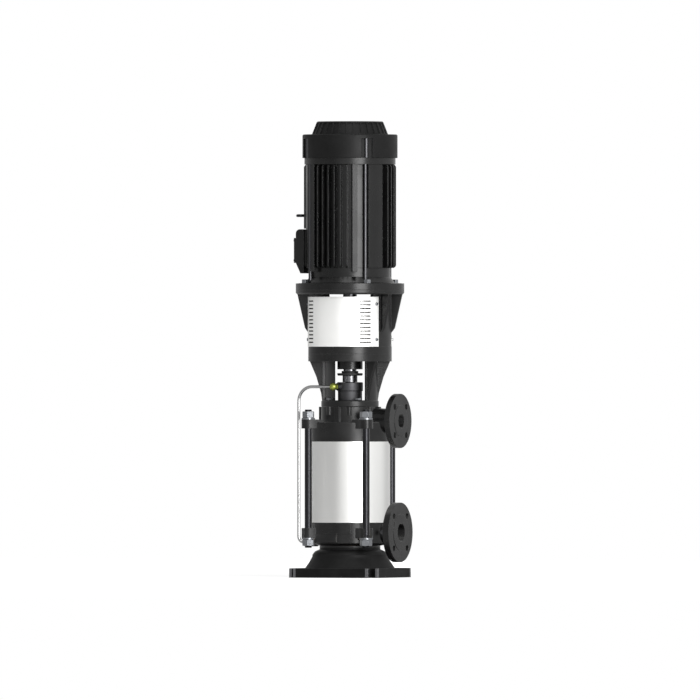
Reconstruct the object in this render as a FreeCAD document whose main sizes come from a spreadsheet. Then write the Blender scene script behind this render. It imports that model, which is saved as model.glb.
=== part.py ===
"""Vertical multistage pump with flanged ports and a standing flange motor.

Frame: origin on the pump axis at the underside of the base plate, +Z up along the shaft,
+X along the suction and discharge ports.
"""
import FreeCAD, Part
import os
from math import atan2

import Sketcher

# Driving sizes in millimetres, grouped by the piece that they belong to
SIZES = {
    # base plate and bell shaped foot
    "plate_side": 268, "plate_corner": 20, "plate_thick": 26,
    "slot_circle": 150, "slot_width": 19, "slot_flare": 12,
    "bell_foot_rad": 124.5, "bell_waist_rad": 112, "bell_waist_rise": 18,
    "bell_shoulder_rad": 104, "bell_shoulder_rise": 32, "bell_brow_rad": 97, "bell_brow_rise": 46,
    "bell_top_rad": 84, "bell_top_rise": 52, "bell_rise": 57, "bell_wall": 13,
    "foot_screw_circle": 60, "foot_screw_rad": 5, "foot_screw_head": 6.4, "foot_screw_flats": 16,
    "foot_screw_bite": 8,
    # casings
    "casing_rad": 109.5, "casing_neck_rise": 5, "casing_skirt_rise": 12, "suction_high": 69,
    "pad_reach": 3, "pad_low_rise": 39, "pad_high_rise": 66, "pad_start": 122, "pad_end": 65,
    "lobe_reach": 7, "lobe_low_rise": 15, "lobe_mid_rise": 25, "lobe_high_rise": 40, "lobe_middle": 104,
    "lobe_angle": 37,
    "discharge_high": 96, "casing_body_high": 54, "casing_neck_rad": 80, "casing_inner_rad": 88,
    "suction_floor": 11, "roof_low": 26, "roof_high": 33, "roof_rad": 62, "seal_room_rad": 45,
    "spigot_rad": 108, "spigot_inner_rad": 99, "spigot_length": 16, "stage_seat": 4,
    "seal_groove_width": 6, "seal_groove_depth": 4.2, "seal_groove_lip": 5,
    "neck_rib_reach": 91, "neck_rib_width": 14, "neck_boss_rad": 7, "neck_boss_high": 23,
    # rod lugs, stay rods, washers and nuts
    "rod_circle": 123.5, "rod_rad": 10, "rod_stub": 5, "lug_rad": 19, "lug_root": 30,
    "low_lug_rise": 27, "low_lug_high": 27, "top_lug_rise": 36, "top_lug_high": 25,
    "lug_gusset_width": 26, "lug_gusset_high": 12, "washer_rad": 18.5, "washer_thick": 4.5,
    "nut_high": 18, "nut_flats": 30,
    # flanged ports
    "port_reach": 155, "raised_face": 2, "suction_rise": 42, "suction_bore_rad": 25,
    "suction_flange_rad": 82.5, "suction_flange_thick": 18, "suction_face_rad": 51,
    "suction_bolt_circle": 62.5, "discharge_rise": 57, "discharge_bore_rad": 20,
    "discharge_flange_rad": 75, "discharge_flange_thick": 16, "discharge_face_rad": 44,
    "discharge_bolt_circle": 55, "port_bolt_rad": 9,
    "suction_neck_rad": 34, "discharge_neck_rad": 34, "port_flare": 6,
    # threaded plugs
    "plug_rad": 6.5, "plug_flats": 14, "plug_head": 7, "plug_bite": 8, "plug_boss_rad": 12,
    "plug_boss_high": 3, "plug_reach": 118, "drain_rise": 20, "vent_rise": 24,
    # sleeve and stages
    "sleeve_rad": 111, "sleeve_wall": 2.5, "sleeve_length": 224,
    "stage_rad": 98, "stage_wall": 3.5, "stage_plate": 3, "stage_eye_rad": 39.5,
    "guide_rad": 84, "guide_high": 17, "guide_bore_rad": 22, "guide_vane": 3.5,
    "impeller_rad": 82, "impeller_high": 20, "impeller_shroud": 2.5, "impeller_eye_rad": 39,
    "impeller_hub_rad": 20, "impeller_hub_high": 27, "impeller_lift": 4, "impeller_vane": 3,
    "spacer_rad": 19.5, "bush_rad": 21, "bush_high": 24, "bush_boss_rad": 30,
    # shaft
    "shaft_rad": 14, "shaft_waist_rad": 18, "bearing_bore_rad": 20, "coupling_seat_rad": 16,
    # lantern
    "lantern_high": 146, "lantern_floor_rad": 79.5, "lantern_floor_thick": 18,
    "lantern_wall_rad": 77, "lantern_wall": 8, "lantern_leg_half_angle": 30,
    "lantern_rib_angle": 25, "lantern_rib_thick": 8, "lantern_rib_mid_rad": 93,
    "lantern_rib_mid_rise": 83, "lantern_rib_low_rad": 80, "lantern_rib_low_rise": 38,
    "lantern_rib_top_rad": 111, "ring_rad": 115.5, "ring_thick": 20.5,
    "housing_rad": 56, "housing_rise": 15, "boss_rad": 35, "boss_drop": 22, "register_rad": 70,
    "register_high": 4, "lantern_screw_circle": 62, "lantern_screw_rad": 5,
    "lantern_screw_flats": 16, "lantern_screw_head": 6.4, "lantern_screw_bite": 12,
    # shaft seal
    "gland_rad": 36, "gland_high": 25, "gland_neck_rad": 33.5, "gland_neck_high": 25,
    "gland_spigot_rad": 25.5, "gland_spigot_high": 12, "gland_screw_circle": 29.5,
    "gland_screw_rad": 3, "gland_head_rad": 5, "gland_head_high": 6,
    "gland_port_reach": 46, "gland_port_rad": 9.5,
    "seal_seat_high": 9, "seal_ring_rad": 25, "seal_ring_high": 26,
    "locknut_rad": 20.5, "locknut_high": 18, "locknut_slot": 5,
    "flinger_rad": 35, "flinger_thick": 7, "flinger_hub_rad": 23, "flinger_hub_high": 6,
    # ball bearings, all of one size
    "bearing_rad": 45, "bearing_wide": 23, "ball_circle": 32.5, "ball_rad": 7.4,
    "race_rad": 7.5, "race_depth": 2.5, "bearing_seat_rise": 130, "cover_thick": 6,
    "motor_bearing_rise": 10,
    # motor stool
    "stool_high": 177, "stool_wall_rad": 115, "stool_wall": 14, "stool_leg_half_angle": 32,
    "stool_ring_thick": 20, "stool_flange_thick": 12, "stool_rib_angle": 17,
    "stool_rib_thick": 10, "stool_rib_low_rise": 64, "stool_rib_low_rad": 125,
    "stool_rib_inset": 4, "stool_screw_circle": 92, "stool_screw_rad": 6,
    "stool_screw_flats": 18, "stool_screw_head": 7.5, "stool_screw_bite": 16,
    # coupling and its guards
    "coupling_rad": 40, "coupling_hub_high": 38, "jaw_high": 18, "jaw_inner_rad": 20,
    "jaw_half_angle": 18.5, "spider_half_angle": 11, "shaft_gap": 25, "motor_shaft_reach": 80,
    "guard_sheet": 1.5, "guard_half_arc": 66.7, "guard_top_gap": 7,
    "vent_rows": 12, "vent_angle": 45, "vent_half_width": 17, "vent_high": 3.5,
    "vent_first_rise": 12, "guard_screw_angle": 27, "guard_screw_rad": 2.5,
    "guard_screw_head_rad": 4.6, "guard_screw_head": 2.6, "guard_screw_bite": 9,
    "guard_screw_edge": 20,
    # motor end shields
    "motor_flange_rad": 150, "motor_flange_thick": 18, "motor_spigot_rad": 115,
    "motor_spigot_high": 4, "motor_bolt_circle": 132.5, "motor_bolt_rad": 6,
    "motor_bolt_hole_rad": 7.5, "motor_bolt_flats": 18, "motor_bolt_head": 11,
    "shield_high": 61, "shield_flare_rise": 36, "shield_flare_rad": 124,
    "fan_shield_high": 18, "fan_shield_rad": 126,
    # motor frame
    "frame_length": 286, "frame_rad": 112, "frame_inner_rad": 100, "fin_rad": 130,
    "fin_thick": 4, "fin_round": 9, "fin_pitch": 8, "side_fin_count": 6, "end_fin_count": 4,
    "pad_rad": 122, "pad_low_angle": 19, "pad_high_angle": 41, "strip_angle": 60,
    "strip_width": 14, "strip_rad": 128, "strip_drop": 11, "box_seat_reach": 118,
    "eye_seat_rad": 9,
    "stator_inner_rad": 62, "stator_length": 180, "stator_rise": 53, "winding_rad": 94,
    "winding_inner_rad": 70, "winding_high": 24, "air_gap": 0.5, "rotor_seat_rad": 24,
    "fan_seat_rad": 17, "tie_rod_circle": 117.5, "tie_rod_rad": 5, "tie_head_rad": 7,
    "tie_head_high": 9,
    # fan, fan cover and its grille
    "fan_rad": 108, "fan_hub_rad": 28, "fan_high": 34, "fan_rise": 12, "fan_disc": 3,
    "fan_blade": 3, "fan_blade_count": 8, "fan_cover_high": 65, "fan_cover_rad": 131.5,
    "fan_cover_wall": 3, "fan_cover_round": 4, "recess_width": 33, "recess_depth": 6,
    "recess_gap": 8, "recess_strip_rad": 5.5,
    "grille_high": 36, "grille_foot_rad": 105, "grille_top_rad": 92.5, "grille_rim": 6,
    "grille_bar": 3, "grille_bar_thick": 4, "grille_bar_count": 30, "grille_roof": 4,
    "grille_slot_width": 6, "grille_slot_inner_rad": 40, "grille_slot_outer_rad": 84,
    "grille_slot_count": 24,
    # terminal box
    "box_reach": 142, "box_half_width": 50, "box_high": 122, "box_drop": 15, "box_slant": 29,
    "box_slant_run": 14, "box_round": 12, "box_wall": 12, "lid_thick": 7, "lid_half_width": 47,
    "lid_high": 69, "lid_rise": 29, "lid_screw_rad": 2.5, "lid_screw_head_rad": 4.5,
    "lid_screw_head": 3, "lid_screw_edge": 7, "gland_nut_flats": 22, "cable_gland_length": 24,
    "cable_gland_rad": 9, "cable_bore_rad": 5, "terminal_half_width": 30, "terminal_high": 34,
    # eye bolt
    "eye_rise": 145, "eye_rad": 10, "eye_section": 4, "eye_reach": 148,
    # flush pipe
    "tube_rad": 4.25, "tube_wall": 1.1, "flush_angle": 120, "flush_body_circle": 57,
    "flush_body_rad": 10.5, "flush_pipe_bite": 4, "flush_nut_rad": 9, "flush_nut_length": 12,
    "flush_reach": 133, "flush_bend": 40, "flush_low_bend": 15, "flush_low_rise": 15,
    "flush_boss_rad": 12, "flush_boss_reach": 104,
    # clearances
    "slip": 0.05, "thread_gap": 0.1, "running_gap": 0.5, "bolt_gap": 1, "sheet_gap": 0.3,
}

doc = FreeCAD.newDocument("VerticalPump")
sheet = doc.addObject("Spreadsheet::Sheet", "Dim")
for row, (word, size) in enumerate(SIZES.items(), start=1):
    sheet.set("A%d" % row, word)
    sheet.set("B%d" % row, str(size))
    sheet.setAlias("B%d" % row, word)
doc.recompute()

# Heights above the floor at which the stacked pieces meet
LEVELS = {
    "foot_top": "Dim.plate_thick + Dim.bell_rise",
    "sleeve_low": "Lev.foot_top + Dim.suction_high",
    "sleeve_top": "Lev.sleeve_low + Dim.sleeve_length",
    "stage_low": "Lev.sleeve_low + Dim.stage_seat",
    "stage_pitch": "(Dim.sleeve_length - 2 * Dim.stage_seat) / 4",
    "casing_top": "Lev.sleeve_top + Dim.discharge_high",
    "lantern_top": "Lev.casing_top + Dim.lantern_high",
    "stool_top": "Lev.lantern_top + Dim.stool_high",
    "frame_low": "Lev.stool_top + Dim.shield_high",
    "frame_top": "Lev.frame_low + Dim.frame_length",
    "cover_low": "Lev.frame_top + Dim.fan_shield_high",
    "cover_top": "Lev.cover_low + Dim.fan_cover_high",
    "rod_lug_low": "Lev.foot_top + Dim.low_lug_rise",
    "rod_lug_top": "Lev.sleeve_top + Dim.top_lug_rise + Dim.top_lug_high",
    "gland_low": "Lev.casing_top + Dim.lantern_floor_thick + Dim.gland_neck_high",
    "gland_top": "Lev.gland_low + Dim.gland_high",
    "pump_bearing": "Lev.casing_top + Dim.bearing_seat_rise",
    "drive_bearing": "Lev.stool_top + Dim.motor_bearing_rise",
    "fan_bearing": "Lev.cover_low - Dim.motor_bearing_rise + 3 - Dim.bearing_wide",
    "motor_shaft_low": "Lev.stool_top - Dim.motor_shaft_reach",
    "pump_shaft_top": "Lev.motor_shaft_low - Dim.shaft_gap",
    "coupling_low": "Lev.pump_shaft_top - Dim.coupling_hub_high",
}
levels = doc.addObject("App::VarSet", "Lev")
for word, text in LEVELS.items():
    levels.addProperty("App::PropertyFloat", word)
    levels.setExpression(word, text)
    doc.recompute()

parts = {}


def number(text):
    """The present value of an expression."""
    found = sheet.evalExpression(text)
    return float(getattr(found, "Value", found))


def origin_feature(body, role):
    return [item for item in body.Origin.OriginFeatures if item.Role == role][0]


def new_part(name, level="0"):
    """A body that becomes the sub-part of that name, standing at a level."""
    body = doc.addObject("PartDesign::Body", name)
    body.Label = name
    body.AllowCompound = True
    body.setExpression("Placement.Base.z", level)
    parts[name] = body
    return body


def new_sketch(body, role, offset="0", turn="0"):
    """A sketch on an origin plane, turned about the upright axis, then moved along its normal."""
    sketch = body.newObject("Sketcher::SketchObject", "sketch")
    sketch.AttachmentSupport = [(origin_feature(body, role), "")]
    sketch.MapMode = "FlatFace"
    upright = FreeCAD.Vector(0, 0, 1) if role == "XY_Plane" else FreeCAD.Vector(0, 1, 0)
    sketch.AttachmentOffset = FreeCAD.Placement(FreeCAD.Vector(), FreeCAD.Rotation(upright, 0))
    if role == "XY_Plane":
        sketch.setExpression("AttachmentOffset.Base.z", offset)
    else:
        sketch.setExpression("AttachmentOffset.Base.x", "(%s) * sin(%s)" % (offset, turn))
        sketch.setExpression("AttachmentOffset.Base.z", "(%s) * cos(%s)" % (offset, turn))
    if turn != "0":
        sketch.AttachmentOffset.Rotation = FreeCAD.Rotation(upright, number(turn))
        sketch.setExpression("AttachmentOffset.Rotation.Angle", turn)
        sketch.AttachmentOffset.Rotation.Axis = upright
    return sketch


def bind(sketch, kind, item, place, text):
    """Ties one coordinate of a point in a sketch to an expression."""
    index = sketch.addConstraint(Sketcher.Constraint(kind, -1, 1, item, place, number(text)))
    sketch.setExpression("Constraints[%d]" % index, text)


def draw_loop(sketch, corners):
    """A closed outline. A corner is (x, y), or (x, y, centre_x, centre_y, side) to end an arc,
    where side is 1 for an arc drawn anticlockwise and -1 for one drawn clockwise."""
    spots = [FreeCAD.Vector(number(corner[0]), number(corner[1]), 0) for corner in corners]
    edges = []
    for here, corner in enumerate(corners):
        before = here - 1
        if len(corner) == 2:
            item = sketch.addGeometry(Part.LineSegment(spots[before], spots[here]))
            edges.append((item, 1, 2))
            continue
        centre = FreeCAD.Vector(number(corner[2]), number(corner[3]), 0)
        ends = [spots[before] - centre, spots[here] - centre]
        angles = [atan2(end.y, end.x) for end in ends]
        circle = Part.Circle(centre, FreeCAD.Vector(0, 0, 1), ends[0].Length)
        if corner[4] > 0:
            item = sketch.addGeometry(Part.ArcOfCircle(circle, angles[0], angles[1]))
            edges.append((item, 1, 2))
        else:
            item = sketch.addGeometry(Part.ArcOfCircle(circle, angles[1], angles[0]))
            edges.append((item, 2, 1))
        chord = spots[here] - spots[before]
        if abs(chord.x) > abs(chord.y):
            bind(sketch, "DistanceY", item, 3, corner[3])
        else:
            bind(sketch, "DistanceX", item, 3, corner[2])
    for here, corner in enumerate(corners):
        item, _, end = edges[here]
        after, start, _ = edges[(here + 1) % len(corners)]
        sketch.addConstraint(Sketcher.Constraint("Coincident", item, end, after, start))
        bind(sketch, "DistanceX", item, end, corner[0])
        bind(sketch, "DistanceY", item, end, corner[1])


def draw_disc(sketch, x, y, radius):
    centre = FreeCAD.Vector(number(x), number(y), 0)
    item = sketch.addGeometry(Part.Circle(centre, FreeCAD.Vector(0, 0, 1), number(radius)))
    bind(sketch, "DistanceX", item, 3, x)
    bind(sketch, "DistanceY", item, 3, y)
    index = sketch.addConstraint(Sketcher.Constraint("Radius", item, number(radius)))
    sketch.setExpression("Constraints[%d]" % index, radius)


def draw_hexagon(sketch, x, y, flats):
    corners = []
    for step in range(6):
        reach = "(%s) / 2 / cos(30)" % flats
        corners.append(("(%s) + %s * cos(%d)" % (x, reach, 60 * step),
                        "(%s) + %s * sin(%d)" % (y, reach, 60 * step)))
    draw_loop(sketch, corners)


def draw_sector(sketch, inner, outer, middle, half_angle):
    """A piece of a ring between two radii, centred on a direction."""
    low = "(%s) - (%s)" % (middle, half_angle)
    high = "(%s) + (%s)" % (middle, half_angle)
    draw_loop(sketch, [
        ("(%s) * cos(%s)" % (inner, low), "(%s) * sin(%s)" % (inner, low), "0", "0", -1),
        ("(%s) * cos(%s)" % (outer, low), "(%s) * sin(%s)" % (outer, low)),
        ("(%s) * cos(%s)" % (outer, high), "(%s) * sin(%s)" % (outer, high), "0", "0", 1),
        ("(%s) * cos(%s)" % (inner, high), "(%s) * sin(%s)" % (inner, high)),
    ])


def turned(body, corners, cut=False, turn="0", angle=None):
    """A revolution, or a groove, of a half section about the upright axis."""
    sketch = new_sketch(body, "XZ_Plane", turn=turn)
    draw_loop(sketch, corners)
    kind = "PartDesign::Groove" if cut else "PartDesign::Revolution"
    feature = body.newObject(kind, "turned")
    feature.Profile = sketch
    feature.ReferenceAxis = (sketch, ["V_Axis"])
    feature.Angle = 360
    if angle:
        feature.Midplane = True
        feature.setExpression("Angle", angle)
    body.Tip = feature
    return feature


def raised(body, sketch, length, both_ways=False, backwards=False):
    """A pad of a sketch."""
    feature = body.newObject("PartDesign::Pad", "pad")
    feature.Profile = sketch
    feature.setExpression("Length", length)
    feature.Midplane = both_ways
    feature.Reversed = backwards
    body.Tip = feature
    return feature


def sunk(body, sketch, depth, both_ways=False, forwards=False):
    """A pocket of a sketch, against its normal unless it goes forwards."""
    feature = body.newObject("PartDesign::Pocket", "pocket")
    feature.Profile = sketch
    feature.setExpression("Length", depth)
    feature.Midplane = both_ways
    feature.Reversed = forwards
    body.Tip = feature
    return feature


def ring_of(body, features, count):
    """Copies of features, evenly round the upright axis."""
    pattern = body.newObject("PartDesign::PolarPattern", "ring")
    pattern.Originals = features
    pattern.Axis = (origin_feature(body, "Z_Axis"), [""])
    pattern.Angle = 360
    if isinstance(count, str):
        pattern.setExpression("Occurrences", count)
    else:
        pattern.Occurrences = count
    body.Tip = pattern
    return pattern


def row_of(body, features, count, pitch):
    """Copies of features in an upright row."""
    pattern = body.newObject("PartDesign::LinearPattern", "row")
    pattern.Originals = features
    pattern.Direction = (origin_feature(body, "Z_Axis"), [""])
    pattern.Mode = "Spacing"
    pattern.setExpression("Offset", pitch)
    pattern.setExpression("Occurrences", count)
    body.Tip = pattern
    return pattern


def screw_ring(name, level, circle, start, count, head, shank, flats, rad):
    """Hexagon screws standing on a circle: heads above the level, shanks below it."""
    body = new_part(name, level)
    x, y = "%s * cos(%s)" % (circle, start), "%s * sin(%s)" % (circle, start)
    top = new_sketch(body, "XY_Plane")
    draw_hexagon(top, x, y, flats)
    low = new_sketch(body, "XY_Plane")
    draw_disc(low, x, y, rad)
    heads = raised(body, top, head)
    shanks = raised(body, low, shank, backwards=True)
    ring_of(body, [heads, shanks], count)
    return body


def hole_ring(body, circle, start, count, rad, level, depth, forwards=False):
    """Round holes on a circle, cut down from a level, or up from it when forwards."""
    sketch = new_sketch(body, "XY_Plane", level)
    draw_disc(sketch, "%s * cos(%s)" % (circle, start), "%s * sin(%s)" % (circle, start), rad)
    ring_of(body, [sunk(body, sketch, depth, forwards=forwards)], count)


def tube_section(inner, outer, low, high):
    return [(inner, low), (outer, low), (outer, high), (inner, high)]


def base_foot():
    body = new_part("base_foot")
    plate = new_sketch(body, "XY_Plane")
    side, flat = "Dim.plate_side / 2", "(Dim.plate_side / 2 - Dim.plate_corner)"
    corners = []
    for sx, sy in ((1, -1), (1, 1), (-1, 1), (-1, -1)):
        near = ("%d * %s" % (sx, flat), "%d * %s" % (sy, side))
        far = ("%d * %s" % (sx, side), "%d * %s" % (sy, flat))
        first, last = (near, far) if sx * sy < 0 else (far, near)
        corners.append(first)
        corners.append(last + ("%d * %s" % (sx, flat), "%d * %s" % (sy, flat), 1))
    draw_loop(plate, corners)
    raised(body, plate, "Dim.plate_thick")
    rise = "Dim.plate_thick + Dim."
    turned(body, [
        ("0", "0"), ("Dim.bell_foot_rad", "0"), ("Dim.bell_foot_rad", "Dim.plate_thick"),
        ("Dim.bell_waist_rad", rise + "bell_waist_rise"),
        ("Dim.bell_shoulder_rad", rise + "bell_shoulder_rise"),
        ("Dim.bell_shoulder_rad", rise + "bell_shoulder_rise + 5"),
        ("Dim.bell_brow_rad", rise + "bell_brow_rise"),
        ("Dim.bell_top_rad", rise + "bell_top_rise"),
        ("Dim.bell_top_rad", "Lev.foot_top"), ("0", "Lev.foot_top"),
    ])
    wall = "- Dim.bell_wall"
    turned(body, [
        ("0", "-1"), ("Dim.bell_foot_rad" + wall, "-1"),
        ("Dim.bell_foot_rad" + wall, "Dim.plate_thick" + wall),
        ("Dim.bell_shoulder_rad" + wall, rise + "bell_shoulder_rise" + wall),
        ("Dim.bell_shoulder_rad" + wall, rise + "bell_brow_rise" + wall),
        ("Dim.bell_brow_rad" + wall, "Lev.foot_top" + wall), ("0", "Lev.foot_top" + wall),
    ], cut=True)
    slot = new_sketch(body, "XY_Plane", turn="45")
    half = "Dim.slot_width / 2"
    tip = "((Dim.plate_side / 2 - Dim.plate_corner) * sqrt(2) + Dim.plate_corner)"
    draw_loop(slot, [
        ("Dim.slot_circle", half), ("Dim.slot_circle", "-" + half, "Dim.slot_circle", "0", 1),
        (tip + " - Dim.slot_flare", "-" + half),
        (tip + " + Dim.slot_flare", "-" + half + " - 2 * Dim.slot_flare"),
        (tip + " + Dim.slot_flare", half + " + 2 * Dim.slot_flare"),
        (tip + " - Dim.slot_flare", half),
    ])
    ring_of(body, [sunk(body, slot, "Dim.plate_thick", forwards=True)], 4)
    hole_ring(body, "Dim.foot_screw_circle", "0", 4, "Dim.foot_screw_rad + Dim.bolt_gap",
              "Lev.foot_top", "Dim.bell_wall")


def foot_screws():
    """Screws from inside the hollow foot, so their heads hang below their seat."""
    body = new_part("foot_screws", "Lev.foot_top - Dim.bell_wall")
    head = new_sketch(body, "XY_Plane")
    draw_hexagon(head, "Dim.foot_screw_circle", "0", "Dim.foot_screw_flats")
    shank = new_sketch(body, "XY_Plane")
    draw_disc(shank, "Dim.foot_screw_circle", "0", "Dim.foot_screw_rad")
    heads = raised(body, head, "Dim.foot_screw_head", backwards=True)
    shanks = raised(body, shank, "Dim.bell_wall + Dim.foot_screw_bite")
    ring_of(body, [heads, shanks], 4)


def port_outside(body, rise, neck, flange_rad, flange_thick, face_rad, root):
    """The neck and flange of a port, turned about its own axis along +X."""
    sketch = new_sketch(body, "XZ_Plane")
    sketch.setExpression("AttachmentOffset.Base.y", rise)
    back = "Dim.port_reach - Dim.raised_face - %s" % flange_thick
    flare = "Dim.port_flare"
    draw_loop(sketch, [
        (root, "0"), ("Dim.port_reach", "0"), ("Dim.port_reach", face_rad),
        ("Dim.port_reach - Dim.raised_face", face_rad),
        ("Dim.port_reach - Dim.raised_face", flange_rad), (back, flange_rad),
        (back, "%s + %s" % (neck, flare)),
        ("%s - %s" % (back, flare), neck, "%s - %s" % (back, flare), "%s + %s" % (neck, flare), -1),
        ("Dim.casing_rad", neck), (root, "%s + %s / 2" % (neck, flare)),
    ])
    feature = body.newObject("PartDesign::Revolution", "port")
    feature.Profile = sketch
    feature.ReferenceAxis = (sketch, ["H_Axis"])
    feature.Angle = 360
    body.Tip = feature


def port_holes(body, rise, bore, bolt_circle, flange_thick, inner):
    """The bore of a port and its four bolt holes astride the centre lines."""
    opening = new_sketch(body, "YZ_Plane", "Dim.port_reach")
    draw_disc(opening, "0", rise, bore)
    sunk(body, opening, "Dim.port_reach - (%s)" % inner)
    bolts = new_sketch(body, "YZ_Plane", "Dim.port_reach")
    for corner in range(4):
        angle = 45 + 90 * corner
        draw_disc(bolts, "%s * cos(%d)" % (bolt_circle, angle),
                  "%s + %s * sin(%d)" % (rise, bolt_circle, angle), "Dim.port_bolt_rad")
    sunk(body, bolts, "Dim.raised_face + %s" % flange_thick)


def lug_ring(body, rise, high, slotted):
    """Four lugs on the diagonals for the stay rods, with open slots or closed holes."""
    lug = new_sketch(body, "XY_Plane", rise, turn="45")
    draw_loop(lug, [
        ("Dim.casing_inner_rad + Dim.sleeve_wall", "Dim.lug_root"),
        ("Dim.casing_inner_rad + Dim.sleeve_wall", "-Dim.lug_root"),
        ("Dim.rod_circle", "-Dim.lug_rad"),
        ("Dim.rod_circle", "Dim.lug_rad", "Dim.rod_circle", "0", 1),
    ])
    ring_of(body, [raised(body, lug, high)], 4)
    hole = new_sketch(body, "XY_Plane", rise, turn="45")
    gap = "Dim.rod_rad + Dim.bolt_gap"
    if slotted:
        far = "Dim.rod_circle + 2 * Dim.lug_rad"
        draw_loop(hole, [
            ("Dim.rod_circle", gap), ("Dim.rod_circle", "-(%s)" % gap, "Dim.rod_circle", "0", 1),
            (far, "-(%s)" % gap), (far, gap),
        ])
    else:
        draw_disc(hole, "Dim.rod_circle", "0", gap)
    return ring_of(body, [sunk(body, hole, high, forwards=True)], 4)


def spigot_groove(low, high):
    """The section of a seal groove in a spigot, between two heights."""
    return [("Dim.spigot_rad - Dim.seal_groove_depth", low), ("Dim.spigot_rad + 1", low),
            ("Dim.spigot_rad + 1", high), ("Dim.spigot_rad - Dim.seal_groove_depth", high)]


def plug_boss(body, x, rise, surface, turn="180"):
    """A low round boss and its threaded hole, facing +Y, or -Y with no turn."""
    boss = new_sketch(body, "XZ_Plane", "%s + Dim.plug_boss_high" % surface, turn=turn)
    draw_disc(boss, x, rise, "Dim.plug_boss_rad")
    raised(body, boss, "Dim.plug_boss_high + Dim.plug_bite", backwards=True)
    hole = new_sketch(body, "XZ_Plane", "%s + Dim.plug_boss_high" % surface, turn=turn)
    draw_disc(hole, x, rise, "Dim.plug_rad + Dim.thread_gap")
    sunk(body, hole, "Dim.plug_bite + Dim.plug_boss_high")


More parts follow.
